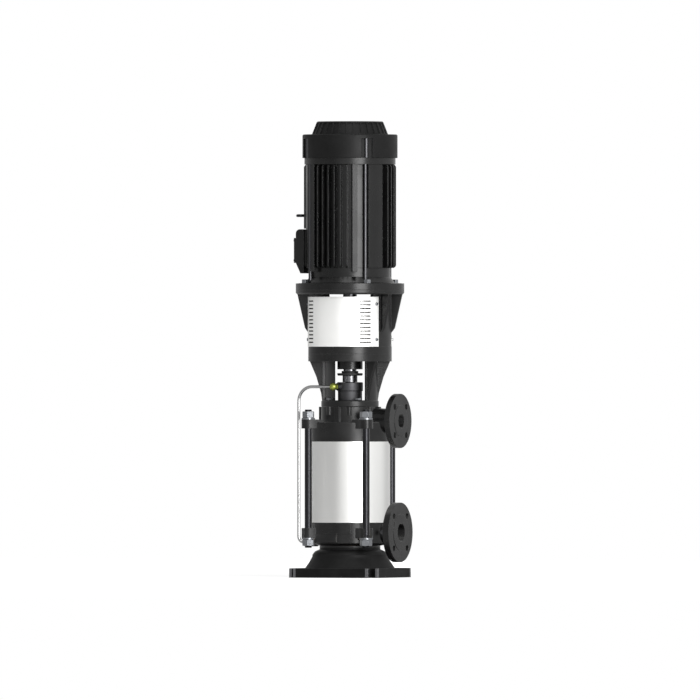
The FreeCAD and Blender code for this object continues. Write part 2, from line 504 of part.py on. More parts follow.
def suction_casing():
    body = new_part("suction_casing", "Lev.foot_top")
    turned(body, [
        ("0", "0"), ("Dim.bell_top_rad", "0"), ("Dim.bell_top_rad", "Dim.casing_neck_rise"),
        ("Dim.casing_rad", "Dim.casing_skirt_rise"), ("Dim.casing_rad", "Dim.suction_high"),
        ("Dim.spigot_rad", "Dim.suction_high"),
        ("Dim.spigot_rad", "Dim.suction_high + Dim.spigot_length"),
        ("0", "Dim.suction_high + Dim.spigot_length"),
    ])
    lug_ring(body, "Dim.low_lug_rise", "Dim.low_lug_high", slotted=True)
    gusset = new_sketch(body, "XZ_Plane", turn="45")
    top = "Dim.low_lug_rise + Dim.low_lug_high"
    draw_loop(gusset, [
        ("Dim.casing_inner_rad + Dim.sleeve_wall", top),
        ("Dim.rod_circle - Dim.rod_rad - Dim.bolt_gap", top),
        ("Dim.casing_rad", top + " + Dim.lug_gusset_high"),
        ("Dim.casing_inner_rad + Dim.sleeve_wall", top + " + Dim.lug_gusset_high"),
    ])
    ring_of(body, [raised(body, gusset, "Dim.lug_gusset_width", both_ways=True)], 4)
    port_outside(body, "Dim.suction_rise", "Dim.suction_neck_rad", "Dim.suction_flange_rad",
                 "Dim.suction_flange_thick", "Dim.suction_face_rad", "Dim.casing_inner_rad + 2")
    turned(body, tube_section("Dim.spigot_rad", "Dim.sleeve_rad + Dim.bolt_gap",
                              "Dim.suction_high", "Dim.suction_high + Dim.spigot_length"), cut=True)
    turned(body, tube_section("Dim.casing_rad - 3", "Dim.casing_rad + Dim.pad_reach", "Dim.pad_low_rise",
                              "Dim.pad_high_rise"),
           turn="-(Dim.pad_start + Dim.pad_end) / 2", angle="Dim.pad_start - Dim.pad_end")
    turned(body, [
        ("Dim.casing_rad - 12", "Dim.casing_skirt_rise"),
        ("Dim.casing_rad + Dim.lobe_reach", "Dim.lobe_low_rise"),
        ("Dim.casing_rad + Dim.lobe_reach", "Dim.lobe_mid_rise"),
        ("Dim.casing_rad", "Dim.lobe_high_rise"), ("Dim.casing_rad - 12", "Dim.lobe_high_rise"),
    ], turn="-Dim.lobe_middle", angle="Dim.lobe_angle")
    flush = new_sketch(body, "YZ_Plane", "-Dim.flush_boss_reach")
    draw_disc(flush, "-Dim.flush_body_circle * sin(Dim.flush_angle)", "Dim.flush_low_rise",
              "Dim.flush_boss_rad")
    raised(body, flush, "Dim.flush_boss_reach - Dim.casing_inner_rad + Dim.flush_boss_rad")
    turned(body, [
        ("0", "Dim.suction_floor"), ("Dim.casing_inner_rad", "Dim.suction_floor"),
        ("Dim.casing_inner_rad", "Dim.suction_high + Dim.stage_seat"),
        ("Dim.spigot_inner_rad", "Dim.suction_high + Dim.stage_seat"),
        ("Dim.spigot_inner_rad", "Dim.suction_high + Dim.spigot_length + 1"),
        ("0", "Dim.suction_high + Dim.spigot_length + 1"),
    ], cut=True)
    turned(body, tube_section("Dim.bush_rad + Dim.slip", "Dim.bush_boss_rad",
                              "Dim.suction_floor - 2", "Dim.suction_floor + Dim.bush_high"))
    turned(body, [
        ("0", "Dim.suction_floor - 2"), ("Dim.bush_rad + Dim.slip", "Dim.suction_floor - 2"),
        ("Dim.bush_rad + Dim.slip", "Dim.suction_floor + 1"), ("0", "Dim.suction_floor + 1"),
    ], cut=True)
    groove_top = "Dim.suction_high + Dim.spigot_length - Dim.seal_groove_lip"
    turned(body, spigot_groove(groove_top + " - Dim.seal_groove_width", groove_top), cut=True)
    port_holes(body, "Dim.suction_rise", "Dim.suction_bore_rad", "Dim.suction_bolt_circle",
               "Dim.suction_flange_thick", "Dim.casing_inner_rad - 8")
    plug_boss(body, "Dim.plug_reach", "Dim.suction_rise", "Dim.suction_neck_rad", turn="0")
    plug_boss(body, "0", "Dim.drain_rise + Dim.plug_boss_rad", "Dim.casing_rad")
    hole_ring(body, "Dim.rod_circle", "45", 4, "Dim.washer_rad + Dim.bolt_gap",
              "Dim.low_lug_rise", "Dim.low_lug_rise")
    inlet = new_sketch(body, "YZ_Plane", "-Dim.flush_boss_reach")
    draw_disc(inlet, "-Dim.flush_body_circle * sin(Dim.flush_angle)", "Dim.flush_low_rise",
              "Dim.tube_rad - Dim.tube_wall")
    sunk(body, inlet, "Dim.flush_boss_reach - Dim.casing_inner_rad + Dim.flush_boss_rad + 20",
         forwards=True)
    hole_ring(body, "Dim.foot_screw_circle", "0", 4, "Dim.foot_screw_rad + Dim.thread_gap",
              "0", "Dim.foot_screw_bite + 1", forwards=True)


def discharge_casing():
    body = new_part("discharge_casing", "Lev.sleeve_top")
    turned(body, [
        ("0", "-Dim.spigot_length"), ("Dim.spigot_rad", "-Dim.spigot_length"),
        ("Dim.spigot_rad", "0"), ("Dim.casing_rad", "0"),
        ("Dim.casing_rad", "Dim.casing_body_high - 4"),
        ("Dim.casing_rad - 4", "Dim.casing_body_high", "Dim.casing_rad - 4",
         "Dim.casing_body_high - 4", 1),
        ("Dim.casing_neck_rad", "Dim.casing_body_high"),
        ("Dim.casing_neck_rad", "Dim.discharge_high"), ("0", "Dim.discharge_high"),
    ])
    rib = new_sketch(body, "XY_Plane", "Dim.casing_body_high - 1")
    draw_loop(rib, [
        ("Dim.casing_neck_rad - 5", "Dim.neck_rib_width / 2"),
        ("Dim.casing_neck_rad - 5", "-Dim.neck_rib_width / 2"),
        ("Dim.neck_rib_reach", "-Dim.neck_rib_width / 2"),
        ("Dim.neck_rib_reach", "Dim.neck_rib_width / 2"),
    ])
    ribs = raised(body, rib, "Dim.discharge_high - Dim.casing_body_high + 1")
    ring_of(body, [ribs], 4)
    boss = new_sketch(body, "XY_Plane", "Dim.discharge_high - Dim.neck_boss_high")
    draw_disc(boss, "(Dim.casing_neck_rad - 1) * cos(22.5)", "(Dim.casing_neck_rad - 1) * sin(22.5)",
              "Dim.neck_boss_rad")
    ring_of(body, [raised(body, boss, "Dim.neck_boss_high")], 8)
    lug_ring(body, "Dim.top_lug_rise", "Dim.top_lug_high", slotted=False)
    port_outside(body, "Dim.discharge_rise", "Dim.discharge_neck_rad",
                 "Dim.discharge_flange_rad", "Dim.discharge_flange_thick",
                 "Dim.discharge_face_rad", "Dim.seal_room_rad + 10")
    turned(body, [
        ("0", "-Dim.spigot_length - 1"), ("Dim.spigot_inner_rad", "-Dim.spigot_length - 1"),
        ("Dim.spigot_inner_rad", "-Dim.stage_seat"), ("Dim.casing_inner_rad", "-Dim.stage_seat"),
        ("Dim.casing_inner_rad", "Dim.roof_low"), ("Dim.roof_rad", "Dim.roof_high"),
        ("Dim.seal_room_rad", "Dim.roof_high"), ("Dim.seal_room_rad", "Dim.discharge_high + 1"),
        ("0", "Dim.discharge_high + 1"),
    ], cut=True)
    groove_low = "-Dim.spigot_length + Dim.seal_groove_lip"
    turned(body, spigot_groove(groove_low, groove_low + " + Dim.seal_groove_width"), cut=True)
    port_holes(body, "Dim.discharge_rise", "Dim.discharge_bore_rad",
               "Dim.discharge_bolt_circle", "Dim.discharge_flange_thick",
               "Dim.seal_room_rad - 8")
    plug_boss(body, "-Dim.plug_reach", "Dim.discharge_rise", "Dim.discharge_neck_rad")
    plug_boss(body, "0", "Dim.vent_rise", "Dim.casing_rad")
    hole_ring(body, "Dim.lantern_screw_circle", "45", 4,
              "Dim.lantern_screw_rad + Dim.thread_gap", "Dim.discharge_high",
              "Dim.lantern_screw_bite + 1")


def plugs():
    """Hexagon plugs: a gauge plug at each port, a drain and a vent. One faces -Y, the rest +Y."""
    body = new_part("plugs")
    places = (
        ("Dim.plug_reach", "Lev.foot_top + Dim.suction_rise", "Dim.suction_neck_rad", "0"),
        ("0", "Lev.foot_top + Dim.drain_rise + Dim.plug_boss_rad", "Dim.casing_rad", "180"),
        ("-Dim.plug_reach", "Lev.sleeve_top + Dim.discharge_rise", "Dim.discharge_neck_rad", "180"),
        ("0", "Lev.sleeve_top + Dim.vent_rise", "Dim.casing_rad", "180"),
    )
    for x, rise, surface, turn in places:
        head = new_sketch(body, "XZ_Plane", "%s + Dim.plug_boss_high" % surface, turn=turn)
        draw_hexagon(head, x, rise, "Dim.plug_flats")
        raised(body, head, "Dim.plug_head")
        shank = new_sketch(body, "XZ_Plane", "%s + Dim.plug_boss_high" % surface, turn=turn)
        draw_disc(shank, x, rise, "Dim.plug_rad")
        raised(body, shank, "Dim.plug_bite", backwards=True)


def sleeve_and_rods():
    body = new_part("outer_sleeve", "Lev.sleeve_low")
    turned(body, tube_section("Dim.sleeve_rad - Dim.sleeve_wall", "Dim.sleeve_rad", "0",
                              "Dim.sleeve_length"))
    rings = []
    lip = "Dim.spigot_length - Dim.seal_groove_lip - Dim.seal_groove_width / 2"
    for level in ("Lev.sleeve_low + " + lip, "Lev.sleeve_top - (%s)" % lip):
        ring = doc.addObject("Part::Torus", "o_ring")
        groove = "Dim.spigot_rad - Dim.seal_groove_depth"
        bore = "Dim.sleeve_rad - Dim.sleeve_wall"
        ring.setExpression("Radius1", "(%s + %s) / 2" % (groove, bore))
        ring.setExpression("Radius2", "(%s - (%s)) / 2 - Dim.slip" % (bore, groove))
        ring.setExpression("Placement.Base.z", level)
        rings.append(ring)
    group = doc.addObject("Part::Compound", "sleeve_o_rings")
    group.Links = rings
    parts["sleeve_o_rings"] = group

    body = new_part("stay_rods",
                    "Lev.rod_lug_low - Dim.washer_thick - Dim.nut_high - Dim.rod_stub")
    rod = new_sketch(body, "XY_Plane", turn="45")
    draw_disc(rod, "Dim.rod_circle", "0", "Dim.rod_rad")
    span = "Lev.rod_lug_top - Lev.rod_lug_low + 2 * (Dim.washer_thick + Dim.nut_high + Dim.rod_stub)"
    ring_of(body, [raised(body, rod, span)], 4)

    washers = new_part("stay_washers", "Lev.rod_lug_low")
    nuts = new_part("stay_nuts", "Lev.rod_lug_low")
    span = "Lev.rod_lug_top - Lev.rod_lug_low"
    for part, thick, shift in ((washers, "Dim.washer_thick", "0"),
                               (nuts, "Dim.nut_high", "Dim.washer_thick")):
        pads = []
        for level in ("-(%s) - (%s)" % (thick, shift), "%s + %s" % (span, shift)):
            ring = new_sketch(part, "XY_Plane", level, turn="45")
            draw_disc(ring, "Dim.rod_circle", "0", "Dim.rod_rad + Dim.thread_gap")
            if part is washers:
                draw_disc(ring, "Dim.rod_circle", "0", "Dim.washer_rad")
            else:
                draw_hexagon(ring, "Dim.rod_circle", "0", "Dim.nut_flats")
            pads.append(raised(part, ring, thick))
        ring_of(part, pads, 4)


def stages():
    """Four chambers with their guide vanes, and an impeller turning in each."""
    for index in range(4):
        level = "Lev.stage_low + %d * Lev.stage_pitch" % index
        body = new_part("stage_chamber_%d" % (index + 1), level)
        turned(body, tube_section("Dim.stage_eye_rad + Dim.running_gap", "Dim.stage_rad", "0",
                                  "Dim.stage_plate"))
        turned(body, tube_section("Dim.stage_rad - Dim.stage_wall", "Dim.stage_rad", "0",
                                  "Lev.stage_pitch"))
        guide_top = "Lev.stage_pitch - Dim.guide_high"
        vane = new_sketch(body, "XY_Plane", guide_top + " - Dim.stage_plate")
        draw_loop(vane, [
            ("Dim.guide_bore_rad + 14", "Dim.guide_vane / 2"),
            ("Dim.guide_bore_rad + 14", "-Dim.guide_vane / 2"),
            ("(Dim.stage_rad - 2) * cos(25)", "-(Dim.stage_rad - 2) * sin(25)"),
            ("(Dim.stage_rad - 2) * cos(22.5)", "-(Dim.stage_rad - 2) * sin(22.5)"),
        ])
        ring_of(body, [raised(body, vane, "Dim.guide_high + Dim.stage_plate")], 6)
        turned(body, tube_section("Dim.guide_bore_rad", "Dim.guide_rad",
                                  guide_top + " - Dim.stage_plate", guide_top))

        body = new_part("impeller_%d" % (index + 1),
                        level + " + Dim.stage_plate + Dim.impeller_lift")
        bore = "Dim.shaft_rad + Dim.slip"
        turned(body, tube_section(bore, "Dim.impeller_hub_rad", "-Dim.impeller_lift",
                                  "Dim.impeller_hub_high - Dim.impeller_lift"))
        turned(body, tube_section("Dim.impeller_hub_rad - 1", "Dim.impeller_rad",
                                  "Dim.impeller_high - Dim.impeller_shroud", "Dim.impeller_high"))
        blade = new_sketch(body, "XY_Plane", "Dim.impeller_shroud / 2")
        root, tip = "(Dim.impeller_hub_rad + 3)", "(Dim.impeller_rad - 1)"
        draw_loop(blade, [
            (root, "Dim.impeller_vane / 2"), (root, "-Dim.impeller_vane / 2"),
            ("%s * cos(34)" % tip, "-%s * sin(34)" % tip),
            ("%s * cos(31)" % tip, "-%s * sin(31)" % tip),
        ])
        ring_of(body, [raised(body, blade, "Dim.impeller_high - Dim.impeller_shroud")], 6)
        eye = "Dim.impeller_eye_rad - Dim.impeller_shroud"
        turned(body, [
            (eye, "-Dim.impeller_lift - Dim.stage_plate"),
            ("Dim.impeller_eye_rad", "-Dim.impeller_lift - Dim.stage_plate"),
            ("Dim.impeller_eye_rad", "0"), ("Dim.impeller_rad", "0"),
            ("Dim.impeller_rad", "Dim.impeller_shroud"), (eye, "Dim.impeller_shroud"),
        ])


def pump_shaft_and_seal():
    bottom = "Lev.foot_top + Dim.suction_floor"
    body = new_part("lower_bush", bottom)
    turned(body, tube_section("Dim.shaft_rad + Dim.slip", "Dim.bush_rad", "-2", "Dim.bush_high"))

    body = new_part("pump_shaft")
    turned(body, [
        ("0", bottom), ("Dim.shaft_rad - 2", bottom), ("Dim.shaft_rad", bottom + " + 2"),
        ("Dim.shaft_rad", "Lev.gland_top + Dim.locknut_high"),
        ("Dim.shaft_waist_rad", "Lev.gland_top + Dim.locknut_high"),
        ("Dim.shaft_waist_rad", "Lev.pump_bearing - 20"),
        ("Dim.bearing_bore_rad - Dim.slip", "Lev.pump_bearing - 20"),
        ("Dim.bearing_bore_rad - Dim.slip", "Lev.pump_bearing + Dim.bearing_wide + 3"),
        ("Dim.coupling_seat_rad", "Lev.pump_bearing + Dim.bearing_wide + 3"),
        ("Dim.coupling_seat_rad", "Lev.pump_shaft_top"), ("0", "Lev.pump_shaft_top"),
    ])

    body = new_part("impeller_spacers", "Lev.stage_low + Dim.stage_plate")
    bore = "Dim.shaft_rad + Dim.slip"
    turned(body, tube_section(bore, "Dim.spacer_rad",
                              "Dim.impeller_hub_high - Lev.stage_pitch", "0"))
    for index in range(4):
        low = "%d * Lev.stage_pitch + Dim.impeller_hub_high" % index
        turned(body, tube_section(bore, "Dim.spacer_rad", low, "%d * Lev.stage_pitch" % (index + 1)))

    body = new_part("seal_ring", "Lev.casing_top + Dim.lantern_floor_thick - Dim.gland_spigot_high")
    face = "-Dim.seal_seat_high"
    turned(body, tube_section(bore, "Dim.seal_ring_rad", face + " - Dim.seal_ring_high", face))
    body = new_part("seal_seat", "Lev.casing_top + Dim.lantern_floor_thick - Dim.gland_spigot_high")
    turned(body, tube_section("Dim.shaft_rad + Dim.running_gap", "Dim.gland_spigot_rad - Dim.slip", face,
                              "0"))

    body = new_part("seal_gland", "Lev.gland_low")
    bore = "Dim.shaft_rad + 3 * Dim.running_gap"
    low = "-Dim.gland_neck_high"
    turned(body, [
        (bore, low + " - Dim.gland_spigot_high"),
        ("Dim.gland_spigot_rad - Dim.slip", low + " - Dim.gland_spigot_high"),
        ("Dim.gland_spigot_rad - Dim.slip", low), ("Dim.gland_neck_rad", low),
        ("Dim.gland_neck_rad", "0"), ("Dim.gland_rad - 2", "0"), ("Dim.gland_rad", "2"),
        ("Dim.gland_rad", "Dim.gland_high - 2"), ("Dim.gland_rad - 2", "Dim.gland_high"),
        (bore, "Dim.gland_high"),
    ])
    boss = new_sketch(body, "YZ_Plane", "Dim.gland_port_reach", turn="-Dim.flush_angle")
    draw_disc(boss, "0", "Dim.gland_high / 2", "Dim.gland_port_rad")
    raised(body, boss, "Dim.gland_port_reach - Dim.gland_rad + 6", backwards=True)
    hole_ring(body, "Dim.gland_screw_circle", "0", 4, "Dim.gland_screw_rad + Dim.thread_gap",
              "Dim.gland_high", "Dim.gland_high + Dim.gland_neck_high")
    hole_ring(body, "Dim.gland_screw_circle", "0", 4, "Dim.gland_head_rad + Dim.thread_gap",
              "Dim.gland_high", "Dim.gland_head_high")
    port = new_sketch(body, "YZ_Plane", "Dim.gland_port_reach", turn="-Dim.flush_angle")
    draw_disc(port, "0", "Dim.gland_high / 2", "Dim.tube_rad")
    sunk(body, port, "Dim.gland_port_reach - Dim.shaft_rad - Dim.running_gap")

    body = new_part("gland_screws", "Lev.gland_top")
    screw = new_sketch(body, "XY_Plane")
    draw_disc(screw, "Dim.gland_screw_circle", "0", "Dim.gland_screw_rad")
    head = new_sketch(body, "XY_Plane")
    draw_disc(head, "Dim.gland_screw_circle", "0", "Dim.gland_head_rad")
    length = "Dim.gland_high + Dim.gland_neck_high + Dim.gland_spigot_high"
    ring_of(body, [raised(body, screw, length, backwards=True),
                   raised(body, head, "Dim.gland_head_high", backwards=True)], 4)

    body = new_part("shaft_nut", "Lev.gland_top + Dim.sheet_gap")
    high = "Dim.locknut_high - Dim.sheet_gap"
    turned(body, tube_section("Dim.shaft_rad + Dim.slip", "Dim.locknut_rad", "0", high))
    slot = new_sketch(body, "XY_Plane", high)
    draw_loop(slot, [
        ("Dim.locknut_rad - 3", "Dim.locknut_slot / 2"),
        ("Dim.locknut_rad - 3", "-Dim.locknut_slot / 2"),
        ("Dim.locknut_rad + 3", "-Dim.locknut_slot / 2"),
        ("Dim.locknut_rad + 3", "Dim.locknut_slot / 2"),
    ])
    ring_of(body, [sunk(body, slot, high)], 4)

    body = new_part("flinger", "Lev.gland_top + Dim.locknut_high")
    turned(body, [
        ("Dim.shaft_waist_rad + Dim.slip", "0"), ("Dim.flinger_rad - 2", "0"),
        ("Dim.flinger_rad", "2"), ("Dim.flinger_rad", "Dim.flinger_thick"),
        ("Dim.flinger_hub_rad", "Dim.flinger_thick"),
        ("Dim.flinger_hub_rad", "Dim.flinger_thick + Dim.flinger_hub_high"),
        ("Dim.shaft_waist_rad + Dim.slip", "Dim.flinger_thick + Dim.flinger_hub_high"),
    ])


def lantern():
    body = new_part("lantern", "Lev.casing_top")
    floor, top = "Dim.lantern_floor_thick", "Dim.lantern_high"
    ring = "Dim.lantern_high - Dim.ring_thick"
    turned(body, [
        ("Dim.gland_spigot_rad", "0"), ("Dim.lantern_floor_rad - 1.5", "0"),
        ("Dim.lantern_floor_rad", "1.5"), ("Dim.lantern_floor_rad", floor + " - 3"),
        ("Dim.lantern_wall_rad", floor), ("Dim.lantern_wall_rad", ring),
        ("Dim.ring_rad", ring), ("Dim.ring_rad", top),
        ("Dim.register_rad - Dim.slip", top),
        ("Dim.register_rad - Dim.slip", top + " + Dim.register_high"),
        ("Dim.housing_rad", top + " + Dim.register_high"),
        ("Dim.housing_rad", top + " + Dim.housing_rise"),
        ("Dim.bearing_rad + Dim.slip", top + " + Dim.housing_rise"),
        ("Dim.bearing_rad + Dim.slip", "Dim.bearing_seat_rise"),
        ("Dim.bearing_bore_rad + Dim.running_gap", "Dim.bearing_seat_rise"),
        ("Dim.bearing_bore_rad + Dim.running_gap", ring + " - Dim.boss_drop"),
        ("Dim.boss_rad", ring + " - Dim.boss_drop"), ("Dim.boss_rad", ring),
        ("Dim.lantern_wall_rad - Dim.lantern_wall", ring),
        ("Dim.lantern_wall_rad - Dim.lantern_wall", floor), ("Dim.gland_spigot_rad", floor),
    ])
    window = new_sketch(body, "XY_Plane", ring)
    draw_sector(window, "Dim.boss_rad + 8", "Dim.ring_rad + 5", "-90",
                "90 - Dim.lantern_leg_half_angle")
    ring_of(body, [sunk(body, window, ring + " - " + floor)], 2)
    for side in ("", "-"):
        rib = new_sketch(body, "XZ_Plane", turn=side + "Dim.lantern_rib_angle")
        draw_loop(rib, [
            ("Dim.lantern_wall_rad - 4", floor + " - 6"), ("Dim.lantern_wall_rad", floor + " - 2"),
            ("Dim.lantern_rib_low_rad", "Dim.lantern_rib_low_rise"),
            ("Dim.lantern_rib_mid_rad", "Dim.lantern_rib_mid_rise"),
            ("Dim.lantern_rib_top_rad", ring), ("Dim.lantern_rib_top_rad", ring + " + 4"),
            ("Dim.lantern_wall_rad - 4", ring + " + 4"),
        ])
        ring_of(body, [raised(body, rib, "Dim.lantern_rib_thick", both_ways=True)], 2)
    hole_ring(body, "Dim.lantern_screw_circle", "45", 4, "Dim.lantern_screw_rad + Dim.bolt_gap / 2",
              floor, floor)
    hole_ring(body, "Dim.gland_screw_circle", "0", 4, "Dim.gland_screw_rad + Dim.thread_gap",
              floor, "Dim.gland_spigot_high")
    hole_ring(body, "Dim.stool_screw_circle", "45", 4, "Dim.stool_screw_rad + Dim.thread_gap",
              top, "Dim.stool_screw_bite + 1")

    body = new_part("bearing_cover", "Lev.lantern_top + Dim.housing_rise")
    reach = "Lev.lantern_top + Dim.housing_rise - Lev.pump_bearing - Dim.bearing_wide"
    turned(body, [
        ("Dim.bearing_bore_rad + Dim.running_gap", "0"),
        ("Dim.bearing_rad - 5", "0"), ("Dim.bearing_rad - 5", "-(%s)" % reach),
        ("Dim.bearing_rad - Dim.slip", "-(%s)" % reach), ("Dim.bearing_rad - Dim.slip", "0"),
        ("Dim.housing_rad", "0"), ("Dim.housing_rad", "Dim.cover_thick"),
        ("Dim.bearing_bore_rad + Dim.running_gap", "Dim.cover_thick"),
    ])
    screw_ring("lantern_screws", "Lev.casing_top + Dim.lantern_floor_thick",
               "Dim.lantern_screw_circle", "45", 4, "Dim.lantern_screw_head",
               "Dim.lantern_floor_thick + Dim.lantern_screw_bite", "Dim.lantern_screw_flats",
               "Dim.lantern_screw_rad")


def bearings():
    """Three ball bearings of one size: races, and the balls between them."""
    outer, inner = new_part("bearing_outer_rings"), new_part("bearing_inner_rings")
    balls = new_part("bearing_balls")
    wide, middle = "Dim.bearing_wide", "Dim.bearing_wide / 2"
    for level in ("Lev.pump_bearing", "Lev.drive_bearing", "Lev.fan_bearing"):
        for body, far, sign, side in ((outer, "Dim.bearing_rad", 1, 1),
                                      (inner, "Dim.bearing_bore_rad", -1, -1)):
            land = "Dim.ball_circle + %d * (Dim.race_rad - Dim.race_depth)" % sign
            half = "sqrt(Dim.race_rad ^ 2 - (Dim.race_rad - Dim.race_depth) ^ 2)"
            turned(body, [
                (far, level), (far, "%s + %s" % (level, wide)), (land, "%s + %s" % (level, wide)),
                (land, "%s + %s + %s" % (level, middle, half)),
                (land, "%s + %s - %s" % (level, middle, half), "Dim.ball_circle",
                 "%s + %s" % (level, middle), -side),
                (land, level),
            ])
        ball = balls.newObject("PartDesign::AdditiveSphere", "ball")
        ball.AttachmentSupport = [(origin_feature(balls, "XY_Plane"), "")]
        ball.MapMode = "FlatFace"
        ball.setExpression("Radius", "Dim.ball_rad")
        ball.setExpression("AttachmentOffset.Base.x", "Dim.ball_circle")
        ball.setExpression("AttachmentOffset.Base.z", "%s + %s" % (level, middle))
        ring_of(balls, [ball], 7)


def motor_stool():
    body = new_part("motor_stool", "Lev.lantern_top")
    ring, top = "Dim.stool_ring_thick", "Dim.stool_high"
    flange = "Dim.stool_high - Dim.stool_flange_thick"
    wall = "Dim.stool_wall_rad - Dim.stool_wall"
    turned(body, [
        ("Dim.register_rad", "0"), ("Dim.ring_rad", "0"), ("Dim.ring_rad", ring),
        ("Dim.stool_wall_rad", ring), ("Dim.stool_wall_rad", flange),
        ("Dim.motor_flange_rad - 4", flange), ("Dim.motor_flange_rad", flange + " + 4"),
        ("Dim.motor_flange_rad", top), ("Dim.motor_spigot_rad + Dim.slip", top),
        ("Dim.motor_spigot_rad + Dim.slip", top + " - Dim.motor_spigot_high - Dim.running_gap"),
        (wall + " - 6", top + " - Dim.motor_spigot_high - Dim.running_gap"),
        (wall + " - 6", flange), (wall, flange), (wall, ring), ("Dim.register_rad", ring),
    ])
    window = new_sketch(body, "XY_Plane", flange)
    draw_sector(window, "Dim.register_rad - 5", "Dim.ring_rad + 5", "-90",
                "90 - Dim.stool_leg_half_angle")
    ring_of(body, [sunk(body, window, flange + " - " + ring)], 2)
    for side in ("", "-"):
        rib = new_sketch(body, "XZ_Plane", turn=side + "Dim.stool_rib_angle")
        low, rib_top = "Dim.stool_rib_low_rise", "Dim.motor_flange_rad - Dim.stool_rib_inset"
        draw_loop(rib, [
            ("Dim.stool_wall_rad - 5", low + " - 6"), ("Dim.stool_wall_rad", low + " - 6"),
            ("Dim.stool_rib_low_rad", low + " + 8"), (rib_top, flange), (rib_top, flange + " + 4"),
            ("Dim.stool_wall_rad - 5", flange + " + 4"),
        ])
        ring_of(body, [raised(body, rib, "Dim.stool_rib_thick", both_ways=True)], 2)
    hole_ring(body, "Dim.stool_screw_circle", "45", 4, "Dim.stool_screw_rad + Dim.bolt_gap / 2",
              ring, ring)
    hole_ring(body, "Dim.motor_bolt_circle", "45", 4, "Dim.motor_bolt_rad + Dim.thread_gap",
              top, "Dim.stool_flange_thick")
    for turn in guard_screw_turns():
        hole = new_sketch(body, "YZ_Plane", "Dim.stool_wall_rad + 1", turn=turn)
        for rise in guard_screw_rises():
            draw_disc(hole, "0", rise, "Dim.guard_screw_rad + Dim.thread_gap")
        sunk(body, hole, "Dim.guard_screw_bite + 2")
    screw_ring("stool_screws", "Lev.lantern_top + Dim.stool_ring_thick",
               "Dim.stool_screw_circle", "45", 4, "Dim.stool_screw_head",
               "Dim.stool_ring_thick + Dim.stool_screw_bite", "Dim.stool_screw_flats",
               "Dim.stool_screw_rad")


def guard_screw_turns():
    """Directions of the guard screws, beside the middle of each leg."""
    return ["Dim.guard_screw_angle", "-Dim.guard_screw_angle",
            "180 + Dim.guard_screw_angle", "180 - Dim.guard_screw_angle"]


def guard_screw_rises():
    """Heights of the guard screws above the foot of the stool."""
    return ["Dim.stool_ring_thick + Dim.guard_screw_edge",
            "Dim.stool_high - Dim.stool_flange_thick - Dim.guard_top_gap - Dim.guard_screw_edge"]


def coupling_guard(name, turn):
    """A bent sheet with two columns of slots, on the legs of the stool."""
    body = new_part(name, "Lev.lantern_top")
    inner = "Dim.stool_wall_rad + Dim.sheet_gap"
    low = "Dim.stool_ring_thick + Dim.sheet_gap"
    high = "Dim.stool_high - Dim.stool_flange_thick - Dim.guard_top_gap"
    turned(body, tube_section(inner, inner + " + Dim.guard_sheet", low, high), turn=turn,
           angle="2 * Dim.guard_half_arc")
    pitch = "(%s - (%s) - 2 * Dim.vent_first_rise) / (Dim.vent_rows - 1)" % (high, low)
    half, round_end = "Dim.vent_half_width", "Dim.vent_high / 2"
    middle = "%s + Dim.vent_first_rise" % low
    for side in (1, -1):
        facing = "%s + %d * Dim.vent_angle" % (turn, side)
        vent = new_sketch(body, "YZ_Plane", turn=facing)
        top, bottom = "%s + %s" % (middle, round_end), "%s - %s" % (middle, round_end)
        left, right = "-(%s - %s)" % (half, round_end), "%s - %s" % (half, round_end)
        draw_loop(vent, [
            (right, top, right, middle, 1), (left, top), (left, bottom, left, middle, 1),
            (right, bottom),
        ])
        slot = sunk(body, vent, inner + " + 2 * Dim.guard_sheet", forwards=True)
        row_of(body, [slot], "Dim.vent_rows", pitch)
    for side in (1, -1):
        facing = "%s + %d * (90 - Dim.guard_screw_angle)" % (turn, side)
        hole = new_sketch(body, "YZ_Plane", inner + " + 2 * Dim.guard_sheet", turn=facing)
        for rise in guard_screw_rises():
            draw_disc(hole, "0", rise, "Dim.guard_screw_rad + Dim.bolt_gap / 2")
        sunk(body, hole, "3 * Dim.guard_sheet")


def guard_screws():
    body = new_part("guard_screws", "Lev.lantern_top")
    seat = "Dim.stool_wall_rad + Dim.sheet_gap + Dim.guard_sheet"
    for turn in guard_screw_turns():
        for rise in guard_screw_rises():
            head = new_sketch(body, "YZ_Plane", seat, turn=turn)
            draw_disc(head, "0", rise, "Dim.guard_screw_head_rad")
            raised(body, head, "Dim.guard_screw_head")
            shank = new_sketch(body, "YZ_Plane", seat, turn=turn)
            draw_disc(shank, "0", rise, "Dim.guard_screw_rad")
            raised(body, shank, "Dim.guard_screw_bite", backwards=True)


